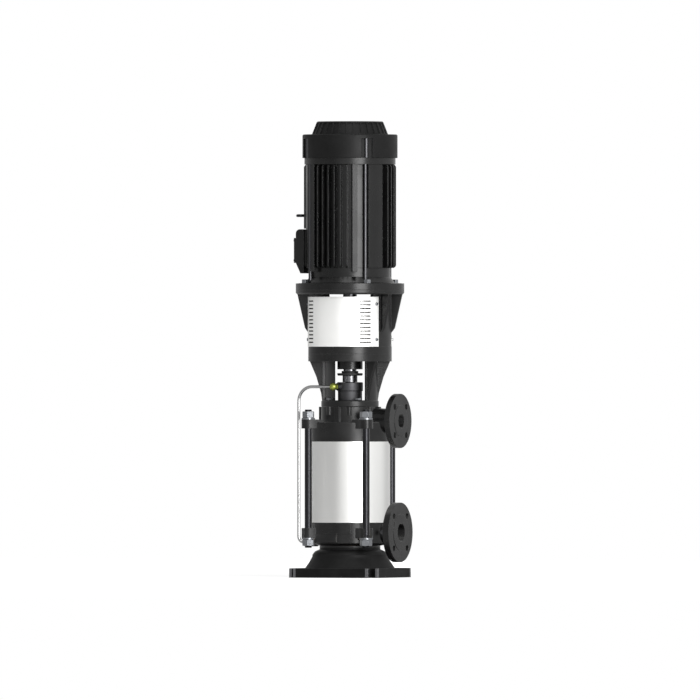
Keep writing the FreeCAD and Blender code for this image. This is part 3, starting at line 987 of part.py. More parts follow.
def coupling():
    """Two hubs with three jaws each, and the rubber spider between the jaws."""
    jaws_low = "Dim.coupling_hub_high"
    jaw_inner, rad = "Dim.jaw_inner_rad", "Dim.coupling_rad"
    lower = new_part("coupling_lower", "Lev.coupling_low")
    turned(lower, tube_section("Dim.coupling_seat_rad + Dim.slip", rad, "0", jaws_low))
    jaw = new_sketch(lower, "XY_Plane", jaws_low)
    draw_sector(jaw, jaw_inner, rad, "0", "Dim.jaw_half_angle")
    ring_of(lower, [raised(lower, jaw, "Dim.jaw_high")], 3)

    upper_low = "Lev.coupling_low + Dim.coupling_hub_high + Dim.jaw_high + 2 * Dim.slip"
    upper = new_part("coupling_upper", upper_low)
    turned(upper, tube_section("Dim.bearing_bore_rad - 1 + Dim.slip", rad, "0",
                               "Dim.coupling_hub_high + 10"))
    jaw = new_sketch(upper, "XY_Plane", "0")
    draw_sector(jaw, jaw_inner, rad, "60", "Dim.jaw_half_angle")
    ring_of(upper, [raised(upper, jaw, "Dim.jaw_high", backwards=True)], 3)

    spider = new_part("coupling_spider", "Lev.coupling_low + Dim.coupling_hub_high + Dim.slip")
    turned(spider, tube_section("Dim.coupling_seat_rad - 4", jaw_inner + " - Dim.slip", "0",
                                "Dim.jaw_high - Dim.slip"))
    leg = new_sketch(spider, "XY_Plane", "0")
    draw_sector(leg, jaw_inner + " - 2", rad + " - 1", "30", "Dim.spider_half_angle")
    ring_of(spider, [raised(spider, leg, "Dim.jaw_high - Dim.slip")], 6)


def motor_shields():
    body = new_part("drive_end_shield", "Lev.stool_top")
    seat, wide = "Dim.motor_bearing_rise", "Dim.bearing_wide"
    hub = "Dim.bearing_rad + 9"
    turned(body, [
        ("Dim.bearing_bore_rad + Dim.running_gap", "-Dim.motor_spigot_high"),
        ("Dim.motor_spigot_rad", "-Dim.motor_spigot_high"), ("Dim.motor_spigot_rad", "0"),
        ("Dim.motor_flange_rad", "0"), ("Dim.motor_flange_rad", "Dim.motor_flange_thick"),
        ("Dim.shield_flare_rad", "Dim.motor_flange_thick + 2"),
        ("Dim.frame_rad", "Dim.shield_flare_rise"), ("Dim.frame_rad", "Dim.shield_high"),
        ("Dim.frame_inner_rad", "Dim.shield_high"),
        ("Dim.frame_inner_rad", "Dim.motor_flange_thick + 6"), (hub, "Dim.motor_flange_thick + 2"),
        (hub, "%s + %s" % (seat, wide)), ("Dim.bearing_rad + Dim.slip", "%s + %s" % (seat, wide)),
        ("Dim.bearing_rad + Dim.slip", seat), ("Dim.bearing_bore_rad + Dim.running_gap", seat),
    ])
    hole_ring(body, "Dim.motor_bolt_circle", "45", 4, "Dim.motor_bolt_hole_rad",
              "Dim.motor_flange_thick", "Dim.motor_flange_thick")
    hole_ring(body, "Dim.motor_bolt_circle", "45", 4, "Dim.motor_bolt_flats / 2 / cos(30) + 1",
              "Dim.motor_flange_thick", "Dim.motor_bolt_head + 4", forwards=True)

    screw_ring("flange_bolts", "Lev.stool_top + Dim.motor_flange_thick",
               "Dim.motor_bolt_circle", "45", 4, "Dim.motor_bolt_head",
               "Dim.motor_flange_thick + Dim.stool_flange_thick", "Dim.motor_bolt_flats",
               "Dim.motor_bolt_rad")

    body = new_part("fan_end_shield", "Lev.frame_top")
    seat = "Lev.fan_bearing - Lev.frame_top"
    turned(body, [
        ("Dim.bearing_rad + Dim.slip", seat), (hub, seat), (hub, "4"),
        ("Dim.frame_inner_rad - 6", "4"), ("Dim.frame_inner_rad - 6", "-6"),
        ("Dim.frame_inner_rad - Dim.slip", "-6"), ("Dim.frame_inner_rad - Dim.slip", "0"),
        ("Dim.fan_shield_rad", "0"), ("Dim.fan_shield_rad", "Dim.fan_shield_high"),
        ("Dim.bearing_bore_rad + Dim.running_gap", "Dim.fan_shield_high"),
        ("Dim.bearing_bore_rad + Dim.running_gap", "%s + %s" % (seat, wide)),
        ("Dim.bearing_rad + Dim.slip", "%s + %s" % (seat, wide)),
    ])
    hole_ring(body, "Dim.tie_rod_circle", "45", 4, "Dim.tie_rod_rad + Dim.bolt_gap / 2",
              "Dim.fan_shield_high", "Dim.fan_shield_high")
    hole_ring(body, "Dim.tie_rod_circle", "45", 4, "Dim.tie_head_rad + Dim.bolt_gap / 2",
              "Dim.fan_shield_high", "Dim.tie_head_high")

    body = new_part("tie_rods", "Lev.cover_low")
    head = new_sketch(body, "XY_Plane", turn="45")
    draw_disc(head, "Dim.tie_rod_circle", "0", "Dim.tie_head_rad")
    rod = new_sketch(body, "XY_Plane", turn="45")
    draw_disc(rod, "Dim.tie_rod_circle", "0", "Dim.tie_rod_rad")
    length = "Lev.cover_low - Lev.stool_top - Dim.motor_flange_thick + 10"
    ring_of(body, [raised(body, head, "Dim.tie_head_high", backwards=True),
                   raised(body, rod, length, backwards=True)], 4)
    hole_ring(parts["drive_end_shield"], "Dim.tie_rod_circle", "45", 4,
              "Dim.tie_rod_rad + Dim.thread_gap", "Dim.shield_high", "Dim.shield_high - 8")


def motor_frame():
    body = new_part("motor_frame", "Lev.frame_low")
    length = "Dim.frame_length"
    turned(body, tube_section("Dim.frame_inner_rad", "Dim.frame_rad", "0", length))
    root, tip, bend = "Dim.frame_rad - 3", "Dim.fin_rad", "Dim.fin_round"
    profile = [
        (root, "0"), ("%s - %s" % (tip, bend), "0"),
        (tip, bend, "%s - %s" % (tip, bend), bend, 1),
        (tip, "%s - %s" % (length, bend)),
        ("%s - %s" % (tip, bend), length, "%s - %s" % (tip, bend), "%s - %s" % (length, bend), 1),
        (root, length),
    ]
    for side, count in (("-90", "Dim.side_fin_count"), ("0", "Dim.end_fin_count")):
        for step in range(int(number(count))):
            fin = new_sketch(body, "XZ_Plane",
                             turn="%s + (%d - (%s - 1) / 2) * Dim.fin_pitch" % (side, step, count))
            draw_loop(fin, profile)
            ring_of(body, [raised(body, fin, "Dim.fin_thick", both_ways=True)], 2)
    for side in ("", "-"):
        pad = new_sketch(body, "XY_Plane", "0")
        middle = "%s(Dim.pad_low_angle + Dim.pad_high_angle) / 2" % side
        draw_sector(pad, root, "Dim.pad_rad", middle, "(Dim.pad_high_angle - Dim.pad_low_angle) / 2")
        ring_of(body, [raised(body, pad, length)], 2)
        strip = new_sketch(body, "XZ_Plane", turn=side + "Dim.strip_angle")
        draw_loop(strip, [
            (root, "0"), ("Dim.frame_rad + 1", "0"), ("Dim.frame_rad + 1", "-Dim.strip_drop"),
            ("Dim.strip_rad", "-Dim.strip_drop"), ("Dim.strip_rad", length), (root, length),
        ])
        ring_of(body, [raised(body, strip, "Dim.strip_width", both_ways=True)], 2)
    seat = new_sketch(body, "YZ_Plane", "-Dim.box_seat_reach")
    wide, low = "Dim.box_half_width - 4", "4"
    high = "Dim.box_high - Dim.box_drop - 4"
    draw_loop(seat, [(wide, low), (wide, high), ("-(%s)" % wide, high), ("-(%s)" % wide, low)])
    raised(body, seat, "Dim.box_seat_reach - Dim.frame_inner_rad - 2")
    clear = new_sketch(body, "YZ_Plane", "-Dim.box_seat_reach")
    wide = "Dim.box_half_width + 2"
    low, high = "-1", "Dim.box_high - Dim.box_drop + 2"
    draw_loop(clear, [(wide, low), (wide, high), ("-(%s)" % wide, high), ("-(%s)" % wide, low)])
    sunk(body, clear, "Dim.fin_rad")
    eye = new_sketch(body, "YZ_Plane", "-Dim.fin_rad")
    draw_disc(eye, "0", "Dim.eye_rise", "Dim.eye_seat_rad")
    raised(body, eye, "Dim.fin_rad - Dim.frame_inner_rad - 4")
    hole = new_sketch(body, "YZ_Plane", "-Dim.fin_rad")
    draw_disc(hole, "0", "Dim.eye_rise", "Dim.eye_section + Dim.thread_gap")
    sunk(body, hole, "Dim.fin_rad - Dim.frame_rad + 2", forwards=True)


def motor_inside():
    body = new_part("stator", "Lev.frame_low + Dim.stator_rise")
    outer, length = "Dim.frame_inner_rad - Dim.slip", "Dim.stator_length"
    turned(body, [
        ("Dim.stator_inner_rad", "0"), ("Dim.winding_inner_rad", "0"),
        ("Dim.winding_inner_rad", "-Dim.winding_high"), ("Dim.winding_rad", "-Dim.winding_high"),
        ("Dim.winding_rad", "0"), (outer, "0"), (outer, length), ("Dim.winding_rad", length),
        ("Dim.winding_rad", length + " + Dim.winding_high"),
        ("Dim.winding_inner_rad", length + " + Dim.winding_high"),
        ("Dim.winding_inner_rad", length), ("Dim.stator_inner_rad", length),
    ])
    body = new_part("rotor_core", "Lev.frame_low + Dim.stator_rise")
    turned(body, tube_section("Dim.rotor_seat_rad + Dim.slip", "Dim.stator_inner_rad - Dim.air_gap",
                              "0", length))
    body = new_part("motor_shaft")
    nose = "Dim.bearing_bore_rad - 1"
    turned(body, [
        ("0", "Lev.motor_shaft_low"), (nose, "Lev.motor_shaft_low"), (nose, "Lev.drive_bearing"),
        ("Dim.bearing_bore_rad - Dim.slip", "Lev.drive_bearing"),
        ("Dim.bearing_bore_rad - Dim.slip", "Lev.drive_bearing + Dim.bearing_wide"),
        ("Dim.rotor_seat_rad", "Lev.drive_bearing + Dim.bearing_wide"),
        ("Dim.rotor_seat_rad", "Lev.fan_bearing"),
        ("Dim.bearing_bore_rad - Dim.slip", "Lev.fan_bearing"),
        ("Dim.bearing_bore_rad - Dim.slip", "Lev.cover_low"), ("Dim.fan_seat_rad", "Lev.cover_low"),
        ("Dim.fan_seat_rad", "Lev.cover_low + Dim.fan_rise + Dim.fan_high + 2"),
        ("0", "Lev.cover_low + Dim.fan_rise + Dim.fan_high + 2"),
    ])
    body = new_part("cooling_fan", "Lev.cover_low + Dim.fan_rise")
    turned(body, tube_section("Dim.fan_seat_rad + Dim.slip", "Dim.fan_hub_rad", "-4", "Dim.fan_high"))
    turned(body, tube_section("Dim.fan_hub_rad - 2", "Dim.fan_rad", "0", "Dim.fan_disc"))
    blade = new_sketch(body, "XZ_Plane")
    draw_loop(blade, [
        ("Dim.fan_hub_rad - 2", "1"), ("Dim.fan_rad", "1"), ("Dim.fan_rad", "Dim.fan_high - 8"),
        ("Dim.fan_rad - 14", "Dim.fan_high"), ("Dim.fan_hub_rad - 2", "Dim.fan_high - 4"),
    ])
    ring_of(body, [raised(body, blade, "Dim.fan_blade", both_ways=True)], "Dim.fan_blade_count")


def fan_cover():
    body = new_part("fan_cover", "Lev.cover_low")
    rad, wall, top = "Dim.fan_cover_rad", "Dim.fan_cover_wall", "Dim.fan_cover_high"
    bend = "Dim.fan_cover_round"
    turned(body, [
        ("%s - %s" % (rad, wall), "0"), (rad, "0"), (rad, "%s - %s" % (top, bend)),
        ("%s - %s" % (rad, bend), top, "%s - %s" % (rad, bend), "%s - %s" % (top, bend), 1),
        ("Dim.grille_foot_rad - Dim.grille_rim", top),
        ("Dim.grille_foot_rad - Dim.grille_rim", "%s - %s" % (top, wall)),
        ("%s - %s" % (rad, bend), "%s - %s" % (top, wall)),
        ("%s - %s" % (rad, wall), "%s - %s" % (top, bend), "%s - %s" % (rad, bend),
         "%s - %s" % (top, bend), -1),
    ])
    block = new_sketch(body, "XY_Plane", turn="45")
    inner = "%s - Dim.recess_depth - %s" % (rad, wall)
    half = "Dim.recess_width / 2"
    chord = "sqrt((%s - 0.5) ^ 2 - (%s + %s) ^ 2)" % (rad, half, wall)
    draw_loop(block, [
        (inner, "%s + %s" % (half, wall)), (inner, "-%s - %s" % (half, wall)),
        (chord, "-%s - %s" % (half, wall)),
        (chord, "%s + %s" % (half, wall), "0", "0", 1),
    ])
    ring_of(body, [raised(body, block, "%s - %s" % (top, bend))], 4)
    recess = new_sketch(body, "XY_Plane", turn="45")
    floor = "%s - Dim.recess_depth" % rad
    draw_loop(recess, [
        (floor, half), (floor, "-" + half), (rad + " + 5", "-" + half), (rad + " + 5", half),
    ])
    ring_of(body, [sunk(body, recess, "%s - %s - Dim.recess_gap" % (top, bend), forwards=True)], 4)
    strip = new_sketch(body, "XY_Plane", turn="45")
    draw_disc(strip, floor + " - 1", "0", "Dim.recess_strip_rad")
    ring_of(body, [raised(body, strip, "%s - %s - Dim.recess_gap" % (top, bend))], 4)

    body = new_part("fan_grille", "Lev.cover_top")
    foot, roof = "Dim.grille_foot_rad", "Dim.grille_high - Dim.grille_roof"
    top, bar = "Dim.grille_top_rad", "Dim.grille_bar"
    turned(body, [
        ("%s - Dim.grille_rim" % foot, "0"), (foot, "0"), (foot, "2"), ("%s - %s" % (foot, bar), "2"),
        ("%s - %s" % (top, bar), roof), (top, roof), (top, roof + " + 1.5"),
        (top + " - 3", "Dim.grille_high"), ("0", "Dim.grille_high"), ("0", roof),
        ("%s - %s - 3" % (top, bar), roof), ("%s - Dim.grille_rim" % foot, "2"),
    ])
    rib = new_sketch(body, "XZ_Plane")
    draw_loop(rib, [
        ("%s - %s - 1" % (foot, bar), "1"), (foot, "1"), (top, roof + " + 1"),
        ("%s - %s - 1" % (top, bar), roof + " + 1"),
    ])
    ring_of(body, [raised(body, rib, "Dim.grille_bar_thick", both_ways=True)],
            "Dim.grille_bar_count")
    slot = new_sketch(body, "XY_Plane", roof)
    half = "Dim.grille_slot_width / 2"
    inner, outer = "Dim.grille_slot_inner_rad", "Dim.grille_slot_outer_rad"
    draw_loop(slot, [
        (inner, half), (inner, "-" + half, inner, "0", 1), (outer, "-" + half),
        (outer, half, outer, "0", 1),
    ])
    ring_of(body, [sunk(body, slot, "Dim.grille_roof", forwards=True)], "Dim.grille_slot_count")


def terminal_box():
    level = "Lev.frame_low - Dim.box_drop"
    body = new_part("terminal_box", level)
    side = new_sketch(body, "XZ_Plane")
    face, back = "-Dim.box_reach", "-Dim.box_seat_reach"
    draw_loop(side, [
        (back, "0"), (back, "Dim.box_high"), (face + " + Dim.box_round", "Dim.box_high"),
        (face, "Dim.box_high - Dim.box_round", face + " + Dim.box_round",
         "Dim.box_high - Dim.box_round", 1),
        (face, "Dim.box_slant"), (face + " + Dim.box_slant_run", "0"),
    ])
    raised(body, side, "2 * Dim.box_half_width", both_ways=True)
    room = new_sketch(body, "YZ_Plane", face)
    half = "Dim.lid_half_width - Dim.box_wall"
    low = "Dim.lid_rise + Dim.box_wall"
    high = "Dim.lid_rise + Dim.lid_high - Dim.box_wall"
    draw_loop(room, [(half, low), (half, high), ("-(%s)" % half, high), ("-(%s)" % half, low)])
    sunk(body, room, "Dim.box_reach - Dim.box_seat_reach - 4", forwards=True)
    entry = new_sketch(body, "XZ_Plane", "-Dim.box_half_width")
    middle = "-(Dim.box_reach + Dim.box_seat_reach) / 2"
    rise = "Dim.lid_rise + Dim.lid_high / 2"
    draw_disc(entry, middle, rise, "Dim.cable_gland_rad + Dim.thread_gap")
    sunk(body, entry, "Dim.box_half_width - Dim.lid_half_width + Dim.box_wall + 1", forwards=True)

    lid = new_part("terminal_lid", level)
    plate = new_sketch(lid, "YZ_Plane", face)
    half, low, high = "Dim.lid_half_width", "Dim.lid_rise", "Dim.lid_rise + Dim.lid_high"
    draw_loop(plate, [(half, low), (half, high), ("-" + half, high), ("-" + half, low)])
    raised(lid, plate, "Dim.lid_thick", backwards=True)

    screws = new_part("lid_screws", level)
    edge = "Dim.lid_screw_edge"
    for part, rad, shift, depth, forwards in (
            (lid, "Dim.lid_screw_rad + Dim.thread_gap", "Dim.lid_thick", "Dim.lid_thick", True),
            (body, "Dim.lid_screw_rad + Dim.thread_gap", "0", "Dim.box_wall + 1", True),
            (screws, "Dim.lid_screw_rad", "Dim.lid_thick", "Dim.lid_thick + Dim.box_wall", False),
            (screws, "Dim.lid_screw_head_rad", "Dim.lid_thick", "Dim.lid_screw_head", True)):
        sketch = new_sketch(part, "YZ_Plane", "%s - %s" % (face, shift))
        for sy in (1, -1):
            for rise in (low + " + " + edge, high + " - " + edge):
                draw_disc(sketch, "%d * (%s - %s)" % (sy, half, edge), rise, rad)
        if part is screws:
            raised(part, sketch, depth, backwards=forwards)
        else:
            sunk(part, sketch, depth, forwards=forwards)

    gland = new_part("cable_gland", level)
    seat = "-Dim.box_half_width"
    rise = "Dim.lid_rise + Dim.lid_high / 2"
    for shape, rad, shift, depth, inward in (
            ("hex", "Dim.gland_nut_flats", "0", "Dim.cable_gland_length / 2", True),
            ("disc", "Dim.cable_gland_rad", "0", "Dim.cable_gland_length", True),
            ("disc", "Dim.cable_gland_rad", "0", "Dim.box_half_width - Dim.lid_half_width + 6",
             False)):
        sketch = new_sketch(gland, "XZ_Plane", seat)
        if shape == "hex":
            draw_hexagon(sketch, middle, rise, rad)
        else:
            draw_disc(sketch, middle, rise, rad)
        raised(gland, sketch, depth, backwards=inward)
    bore = new_sketch(gland, "XZ_Plane", "-Dim.box_half_width - Dim.cable_gland_length")
    draw_disc(bore, middle, rise, "Dim.cable_bore_rad")
    sunk(gland, bore, "Dim.cable_gland_length + 20", forwards=True)

    block = new_part("terminal_block", level)
    base = new_sketch(block, "YZ_Plane", "-Dim.box_seat_reach - 4")
    half, tall = "Dim.terminal_half_width", "Dim.terminal_high / 2"
    draw_loop(base, [
        (half, "%s + %s" % (rise, tall)), ("-" + half, "%s + %s" % (rise, tall)),
        ("-" + half, "%s - %s" % (rise, tall)), (half, "%s - %s" % (rise, tall)),
    ])
    raised(block, base, "8", backwards=True)
    for step in (-1, 0, 1):
        post = new_sketch(block, "YZ_Plane", "-Dim.box_seat_reach - 12")
        for sz in (1, -1):
            draw_disc(post, "%d * Dim.terminal_half_width * 0.6" % step,
                      "%s + %d * Dim.terminal_high / 4" % (rise, sz), "3")
        raised(block, post, "6", backwards=True)


def eye_bolt():
    level = "Lev.frame_low + Dim.eye_rise"
    ring = doc.addObject("Part::Torus", "eye")
    ring.setExpression("Radius1", "Dim.eye_rad")
    ring.setExpression("Radius2", "Dim.eye_section")
    ring.setExpression("Placement.Base.x", "-Dim.eye_reach")
    ring.setExpression("Placement.Base.z", level)
    along = FreeCAD.Rotation(FreeCAD.Vector(0, 1, 0), 90)
    shank = doc.addObject("Part::Cylinder", "shank")
    shank.setExpression("Radius", "Dim.eye_section")
    shank.setExpression("Height", "Dim.eye_reach - Dim.eye_rad - Dim.frame_rad")
    collar = doc.addObject("Part::Cylinder", "collar")
    collar.setExpression("Radius", "Dim.eye_section + 3")
    collar.Height = 3
    for piece, start in ((shank, "-Dim.eye_reach + Dim.eye_rad"), (collar, "-Dim.fin_rad - 3")):
        piece.Placement = FreeCAD.Placement(FreeCAD.Vector(), along)
        piece.setExpression("Placement.Base.x", start)
        piece.setExpression("Placement.Base.z", level)
    bolt = doc.addObject("Part::MultiFuse", "eye_bolt")
    bolt.Shapes = [ring, shank, collar]
    parts["eye_bolt"] = bolt


def flush_line():
    """The small pipe that feeds the seal from the casing, with a fitting at each end."""
    rise = "Lev.gland_low + Dim.gland_high / 2"
    across = "Dim.flush_body_circle * sin(Dim.flush_angle)"
    start = "Dim.flush_body_circle * cos(Dim.flush_angle) - Dim.flush_pipe_bite"
    low = "Lev.foot_top + Dim.flush_low_rise"
    far, bend, small = "-Dim.flush_reach", "Dim.flush_bend", "Dim.flush_low_bend"
    end = "-Dim.flush_boss_reach - 2"
    body = new_part("flush_pipe")
    path = new_sketch(body, "XZ_Plane", across)
    corners = [
        (start, rise), ("%s + %s" % (far, bend), rise), (far, "%s - %s" % (rise, bend)),
        (far, "%s + %s" % (low, small)), ("%s + %s" % (far, small), low), (end, low),
    ]
    centres = {2: ("%s + %s" % (far, bend), "%s - %s" % (rise, bend)),
               4: ("%s + %s" % (far, small), "%s + %s" % (low, small))}
    spots = [FreeCAD.Vector(number(x), number(y), 0) for x, y in corners]
    last = None
    for here in range(1, len(corners)):
        if here in centres:
            centre = FreeCAD.Vector(*[number(text) for text in centres[here]], 0)
            ends = [spots[here - 1] - centre, spots[here] - centre]
            circle = Part.Circle(centre, FreeCAD.Vector(0, 0, 1), ends[0].Length)
            item = path.addGeometry(Part.ArcOfCircle(circle, atan2(ends[0].y, ends[0].x),
                                                     atan2(ends[1].y, ends[1].x)))
            bind(path, "DistanceX", item, 3, centres[here][0])
        else:
            item = path.addGeometry(Part.LineSegment(spots[here - 1], spots[here]))
        if last is None:
            bind(path, "DistanceX", item, 1, corners[0][0])
            bind(path, "DistanceY", item, 1, corners[0][1])
        else:
            path.addConstraint(Sketcher.Constraint("Coincident", last, 2, item, 1))
        bind(path, "DistanceX", item, 2, corners[here][0])
        bind(path, "DistanceY", item, 2, corners[here][1])
        last = item
    section = new_sketch(body, "YZ_Plane", start)
    draw_disc(section, "-" + across, rise, "Dim.tube_rad")
    draw_disc(section, "-" + across, rise, "Dim.tube_rad - Dim.tube_wall")
    pipe = body.newObject("PartDesign::AdditivePipe", "pipe")
    pipe.Profile = section
    pipe.Spine = (path, ["Edge%d" % (edge + 1) for edge in range(5)])
    body.Tip = pipe

    fittings = new_part("flush_fittings")
    ball = fittings.newObject("PartDesign::AdditiveSphere", "ball")
    ball.AttachmentSupport = [(origin_feature(fittings, "XY_Plane"), "")]
    ball.MapMode = "FlatFace"
    ball.setExpression("Radius", "Dim.flush_body_rad")
    ball.setExpression("AttachmentOffset.Base.x", "Dim.flush_body_circle * cos(Dim.flush_angle)")
    ball.setExpression("AttachmentOffset.Base.y", "-" + across)
    ball.setExpression("AttachmentOffset.Base.z", rise)
    socket = new_sketch(fittings, "YZ_Plane", "Dim.gland_port_reach + Dim.slip", turn="-Dim.flush_angle")
    draw_disc(socket, "0", rise, "Dim.flush_body_rad - 3")
    raised(fittings, socket, "Dim.flush_body_circle - Dim.gland_port_reach")
    hole = new_sketch(fittings, "YZ_Plane", start)
    draw_disc(hole, "-" + across, rise, "Dim.tube_rad + Dim.slip")
    sunk(fittings, hole, "Dim.flush_body_rad + Dim.flush_pipe_bite")
    nut = new_sketch(fittings, "YZ_Plane", "-Dim.flush_boss_reach - Dim.slip")
    draw_hexagon(nut, "-" + across, low, "2 * Dim.flush_nut_rad")
    draw_disc(nut, "-" + across, low, "Dim.tube_rad + Dim.slip")
    raised(fittings, nut, "Dim.flush_nut_length", backwards=True)


base_foot()
foot_screws()
suction_casing()
discharge_casing()
plugs()
sleeve_and_rods()
stages()
pump_shaft_and_seal()
lantern()
bearings()
motor_stool()
coupling_guard("coupling_guard_front", "-90")
coupling_guard("coupling_guard_rear", "90")
guard_screws()
coupling()
motor_shields()
motor_frame()
motor_inside()
fan_cover()
terminal_box()
eye_bolt()
flush_line()

for name, part in parts.items():
    part.Label = name
doc.recompute()
broken = [item.Name for item in doc.Objects if "Invalid" in item.State or "Error" in item.State]
for name, part in parts.items():
    if part.Shape.isNull() or not part.Shape.isValid() or not part.Shape.Solids:
        broken.append(name)
if broken:
    raise SystemExit("failed: " + ", ".join(broken))

os.makedirs("parts", exist_ok=True)
for name, part in parts.items():
    part.Shape.exportStep("parts/%s.step" % name)
    print(name, len(part.Shape.Solids), round(part.Shape.Volume / 1000, 1), "cm3")
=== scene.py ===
# %% [markdown]
# # Dressing a vertical multistage pump
#
# The measured model of the pump is already built: castings, shafts, bearings and bolts, each a mesh
# of its own at its real size. This lesson gives it the looks of the real machine: enamel on cast
# iron, a polished stainless sleeve, bright fasteners, and the small turned and pressed details that
# a measured model leaves plain.

# %% Load the measured model
import math

import bpy
from mathutils import Matrix, Vector


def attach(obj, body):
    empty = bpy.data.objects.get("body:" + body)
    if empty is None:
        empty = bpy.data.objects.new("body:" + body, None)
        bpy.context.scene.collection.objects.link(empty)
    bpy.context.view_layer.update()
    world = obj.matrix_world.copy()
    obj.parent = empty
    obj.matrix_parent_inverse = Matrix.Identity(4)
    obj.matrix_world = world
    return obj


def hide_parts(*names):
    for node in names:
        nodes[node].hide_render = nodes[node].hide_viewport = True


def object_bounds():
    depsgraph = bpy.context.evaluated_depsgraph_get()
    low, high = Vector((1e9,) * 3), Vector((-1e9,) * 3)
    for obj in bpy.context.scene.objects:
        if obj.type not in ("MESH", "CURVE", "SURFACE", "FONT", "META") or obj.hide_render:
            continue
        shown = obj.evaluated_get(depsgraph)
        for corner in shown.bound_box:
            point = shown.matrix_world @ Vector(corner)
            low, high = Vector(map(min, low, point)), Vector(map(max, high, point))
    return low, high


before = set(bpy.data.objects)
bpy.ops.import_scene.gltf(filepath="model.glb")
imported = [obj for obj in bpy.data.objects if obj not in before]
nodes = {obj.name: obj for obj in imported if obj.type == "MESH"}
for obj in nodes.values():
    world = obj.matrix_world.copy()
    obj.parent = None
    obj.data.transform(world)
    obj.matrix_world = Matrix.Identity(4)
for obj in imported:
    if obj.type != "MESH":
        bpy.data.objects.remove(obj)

cad_low, cad_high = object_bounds()
print("pieces:", len(nodes), "height in mm:", round((cad_high.z - cad_low.z) * 1000))

# %% [markdown]
# ## Small helpers
#
# Lengths are written in millimetres, as on a workshop drawing, and turned to metres once. Colours
# are written as the hex values that a screen shows, so one function turns them to the linear values
# that light works in. One more function adds a node of any kind, with its settings and its links,
# which keeps a shader readable from top to bottom. The rest are steps that many cells share.

# %% Units, colours and nodes
MM = 0.001


def linear(hex_text):
    """The linear colour of an sRGB hex value."""
    shares = [int(hex_text[i:i + 2], 16) / 255 for i in (1, 3, 5)]
    return tuple(s / 12.92 if s <= 0.04045 else ((s + 0.055) / 1.055) ** 2.4
                 for s in shares) + (1.0,)


def add(tree, kind, inputs=None, **settings):
    """Adds a node. An input is given a value, or is linked to another node's output."""
    node = tree.nodes.new(kind)
    for name, value in settings.items():
        setattr(node, name, value)
    for socket, value in (inputs or {}).items():
        if isinstance(value, bpy.types.NodeSocket):
            tree.links.new(value, node.inputs[socket])
        else:
            node.inputs[socket].default_value = value
    return node


def sum_of(tree, operation, *values):
    """The result of one step of arithmetic."""
    found = add(tree, "ShaderNodeMath", dict(enumerate(values)), operation=operation)
    return found.outputs[0]


def spread(tree, value, low, high, start=0.3, stop=0.7, curve="LINEAR"):
    """Turns the range of a value from start to stop into the range from low to high."""
    found = add(tree, "ShaderNodeMapRange",
                {"Value": value, "From Min": start, "From Max": stop,
                 "To Min": low, "To Max": high}, interpolation_type=curve)
    return found.outputs["Result"]


def place_object(name, data):
    """A new object in the scene."""
    thing = bpy.data.objects.new(name, data)
    bpy.context.scene.collection.objects.link(thing)
    return thing


def empty_tree(owner):
    """The node tree of a material or a world, with nothing in it."""
    owner.use_nodes = True
    owner.node_tree.nodes.clear()
    return owner.node_tree


def geometry_tree(name, *sockets):
    """A new geometry node group and its input node. Each socket is (name, kind)."""
    tree = bpy.data.node_groups.new(name, "GeometryNodeTree")
    for label, kind in sockets:
        tree.interface.new_socket(label, in_out="INPUT", socket_type="NodeSocket" + kind)
    tree.interface.new_socket("Geometry", in_out="OUTPUT", socket_type="NodeSocketGeometry")
    return tree, add(tree, "NodeGroupInput")


# %% [markdown]
# ## Smooth barrels, crisp edges
#
# The measured meshes are loose triangles. A small node tree joins their corners and shades across
# every edge that turns by less than 35 degrees, so barrels look round while the edge of a flange
# stays sharp. It is a modifier, so the mesh itself stays as it was measured.

# %% Shade the measured meshes
SHARP_ANGLE = 35  # in degrees
WELD_DISTANCE = 0.002  # in millimetres


def smoothing_tree():
    """Joins corners that meet, and shades across every edge that turns less than SHARP_ANGLE."""
    tree, start = geometry_tree("Smooth barrels", ("Geometry", "Geometry"))
    joined = add(tree, "GeometryNodeMergeByDistance",
                 {"Geometry": start.outputs[0], "Distance": WELD_DISTANCE * MM})
    angle = add(tree, "GeometryNodeInputMeshEdgeAngle")
    round_edge = add(tree, "FunctionNodeCompare",
                     {0: angle.outputs["Unsigned Angle"], 1: math.radians(SHARP_ANGLE)},
                     operation="LESS_THAN")
    faces = add(tree, "GeometryNodeSetShadeSmooth",
                {"Geometry": joined.outputs[0], "Shade Smooth": True}, domain="FACE")
    edges = add(tree, "GeometryNodeSetShadeSmooth",
                {"Geometry": faces.outputs[0], "Shade Smooth": round_edge.outputs[0]},
                domain="EDGE")
    add(tree, "NodeGroupOutput", {0: edges.outputs[0]})
    return tree


smooth = smoothing_tree()
for piece in nodes.values():
    piece.modifiers.new("Smooth barrels", "NODES").node_group = smooth

# %% [markdown]
# ## Finishes
#
# Every finish starts from the real material and how its surface was made. The patterns are sized in
# millimetres on the object's own coordinates, so a grain keeps its size on a large casting and on a
# small nut.

# %% What every finish shares
COLOUR_A, COLOUR_B, COLOUR_OUT = 6, 7, 2  # the colour sockets of a Mix node
LAP_RADIUS = 100  # the barrel on which a lap round the shaft is measured
MOST_TURNED, LEAST_TURNED = 0.80, 0.97  # cosines of how far an edge's rounded normal turns


def finish(name, colour, roughness, metallic=0.0, **settings):
    """A new material: itself, its tree, its shader and the object coordinates to build on."""
    material = bpy.data.materials.new(name)
    tree = empty_tree(material)
    shader = add(tree, "ShaderNodeBsdfPrincipled",
                 {"Base Color": linear(colour), "Roughness": roughness, "Metallic": metallic,
                  **settings})
    add(tree, "ShaderNodeOutputMaterial", {"Surface": shader.outputs[0]})
    place = add(tree, "ShaderNodeTexCoord").outputs["Object"]
    return material, tree, shader, place


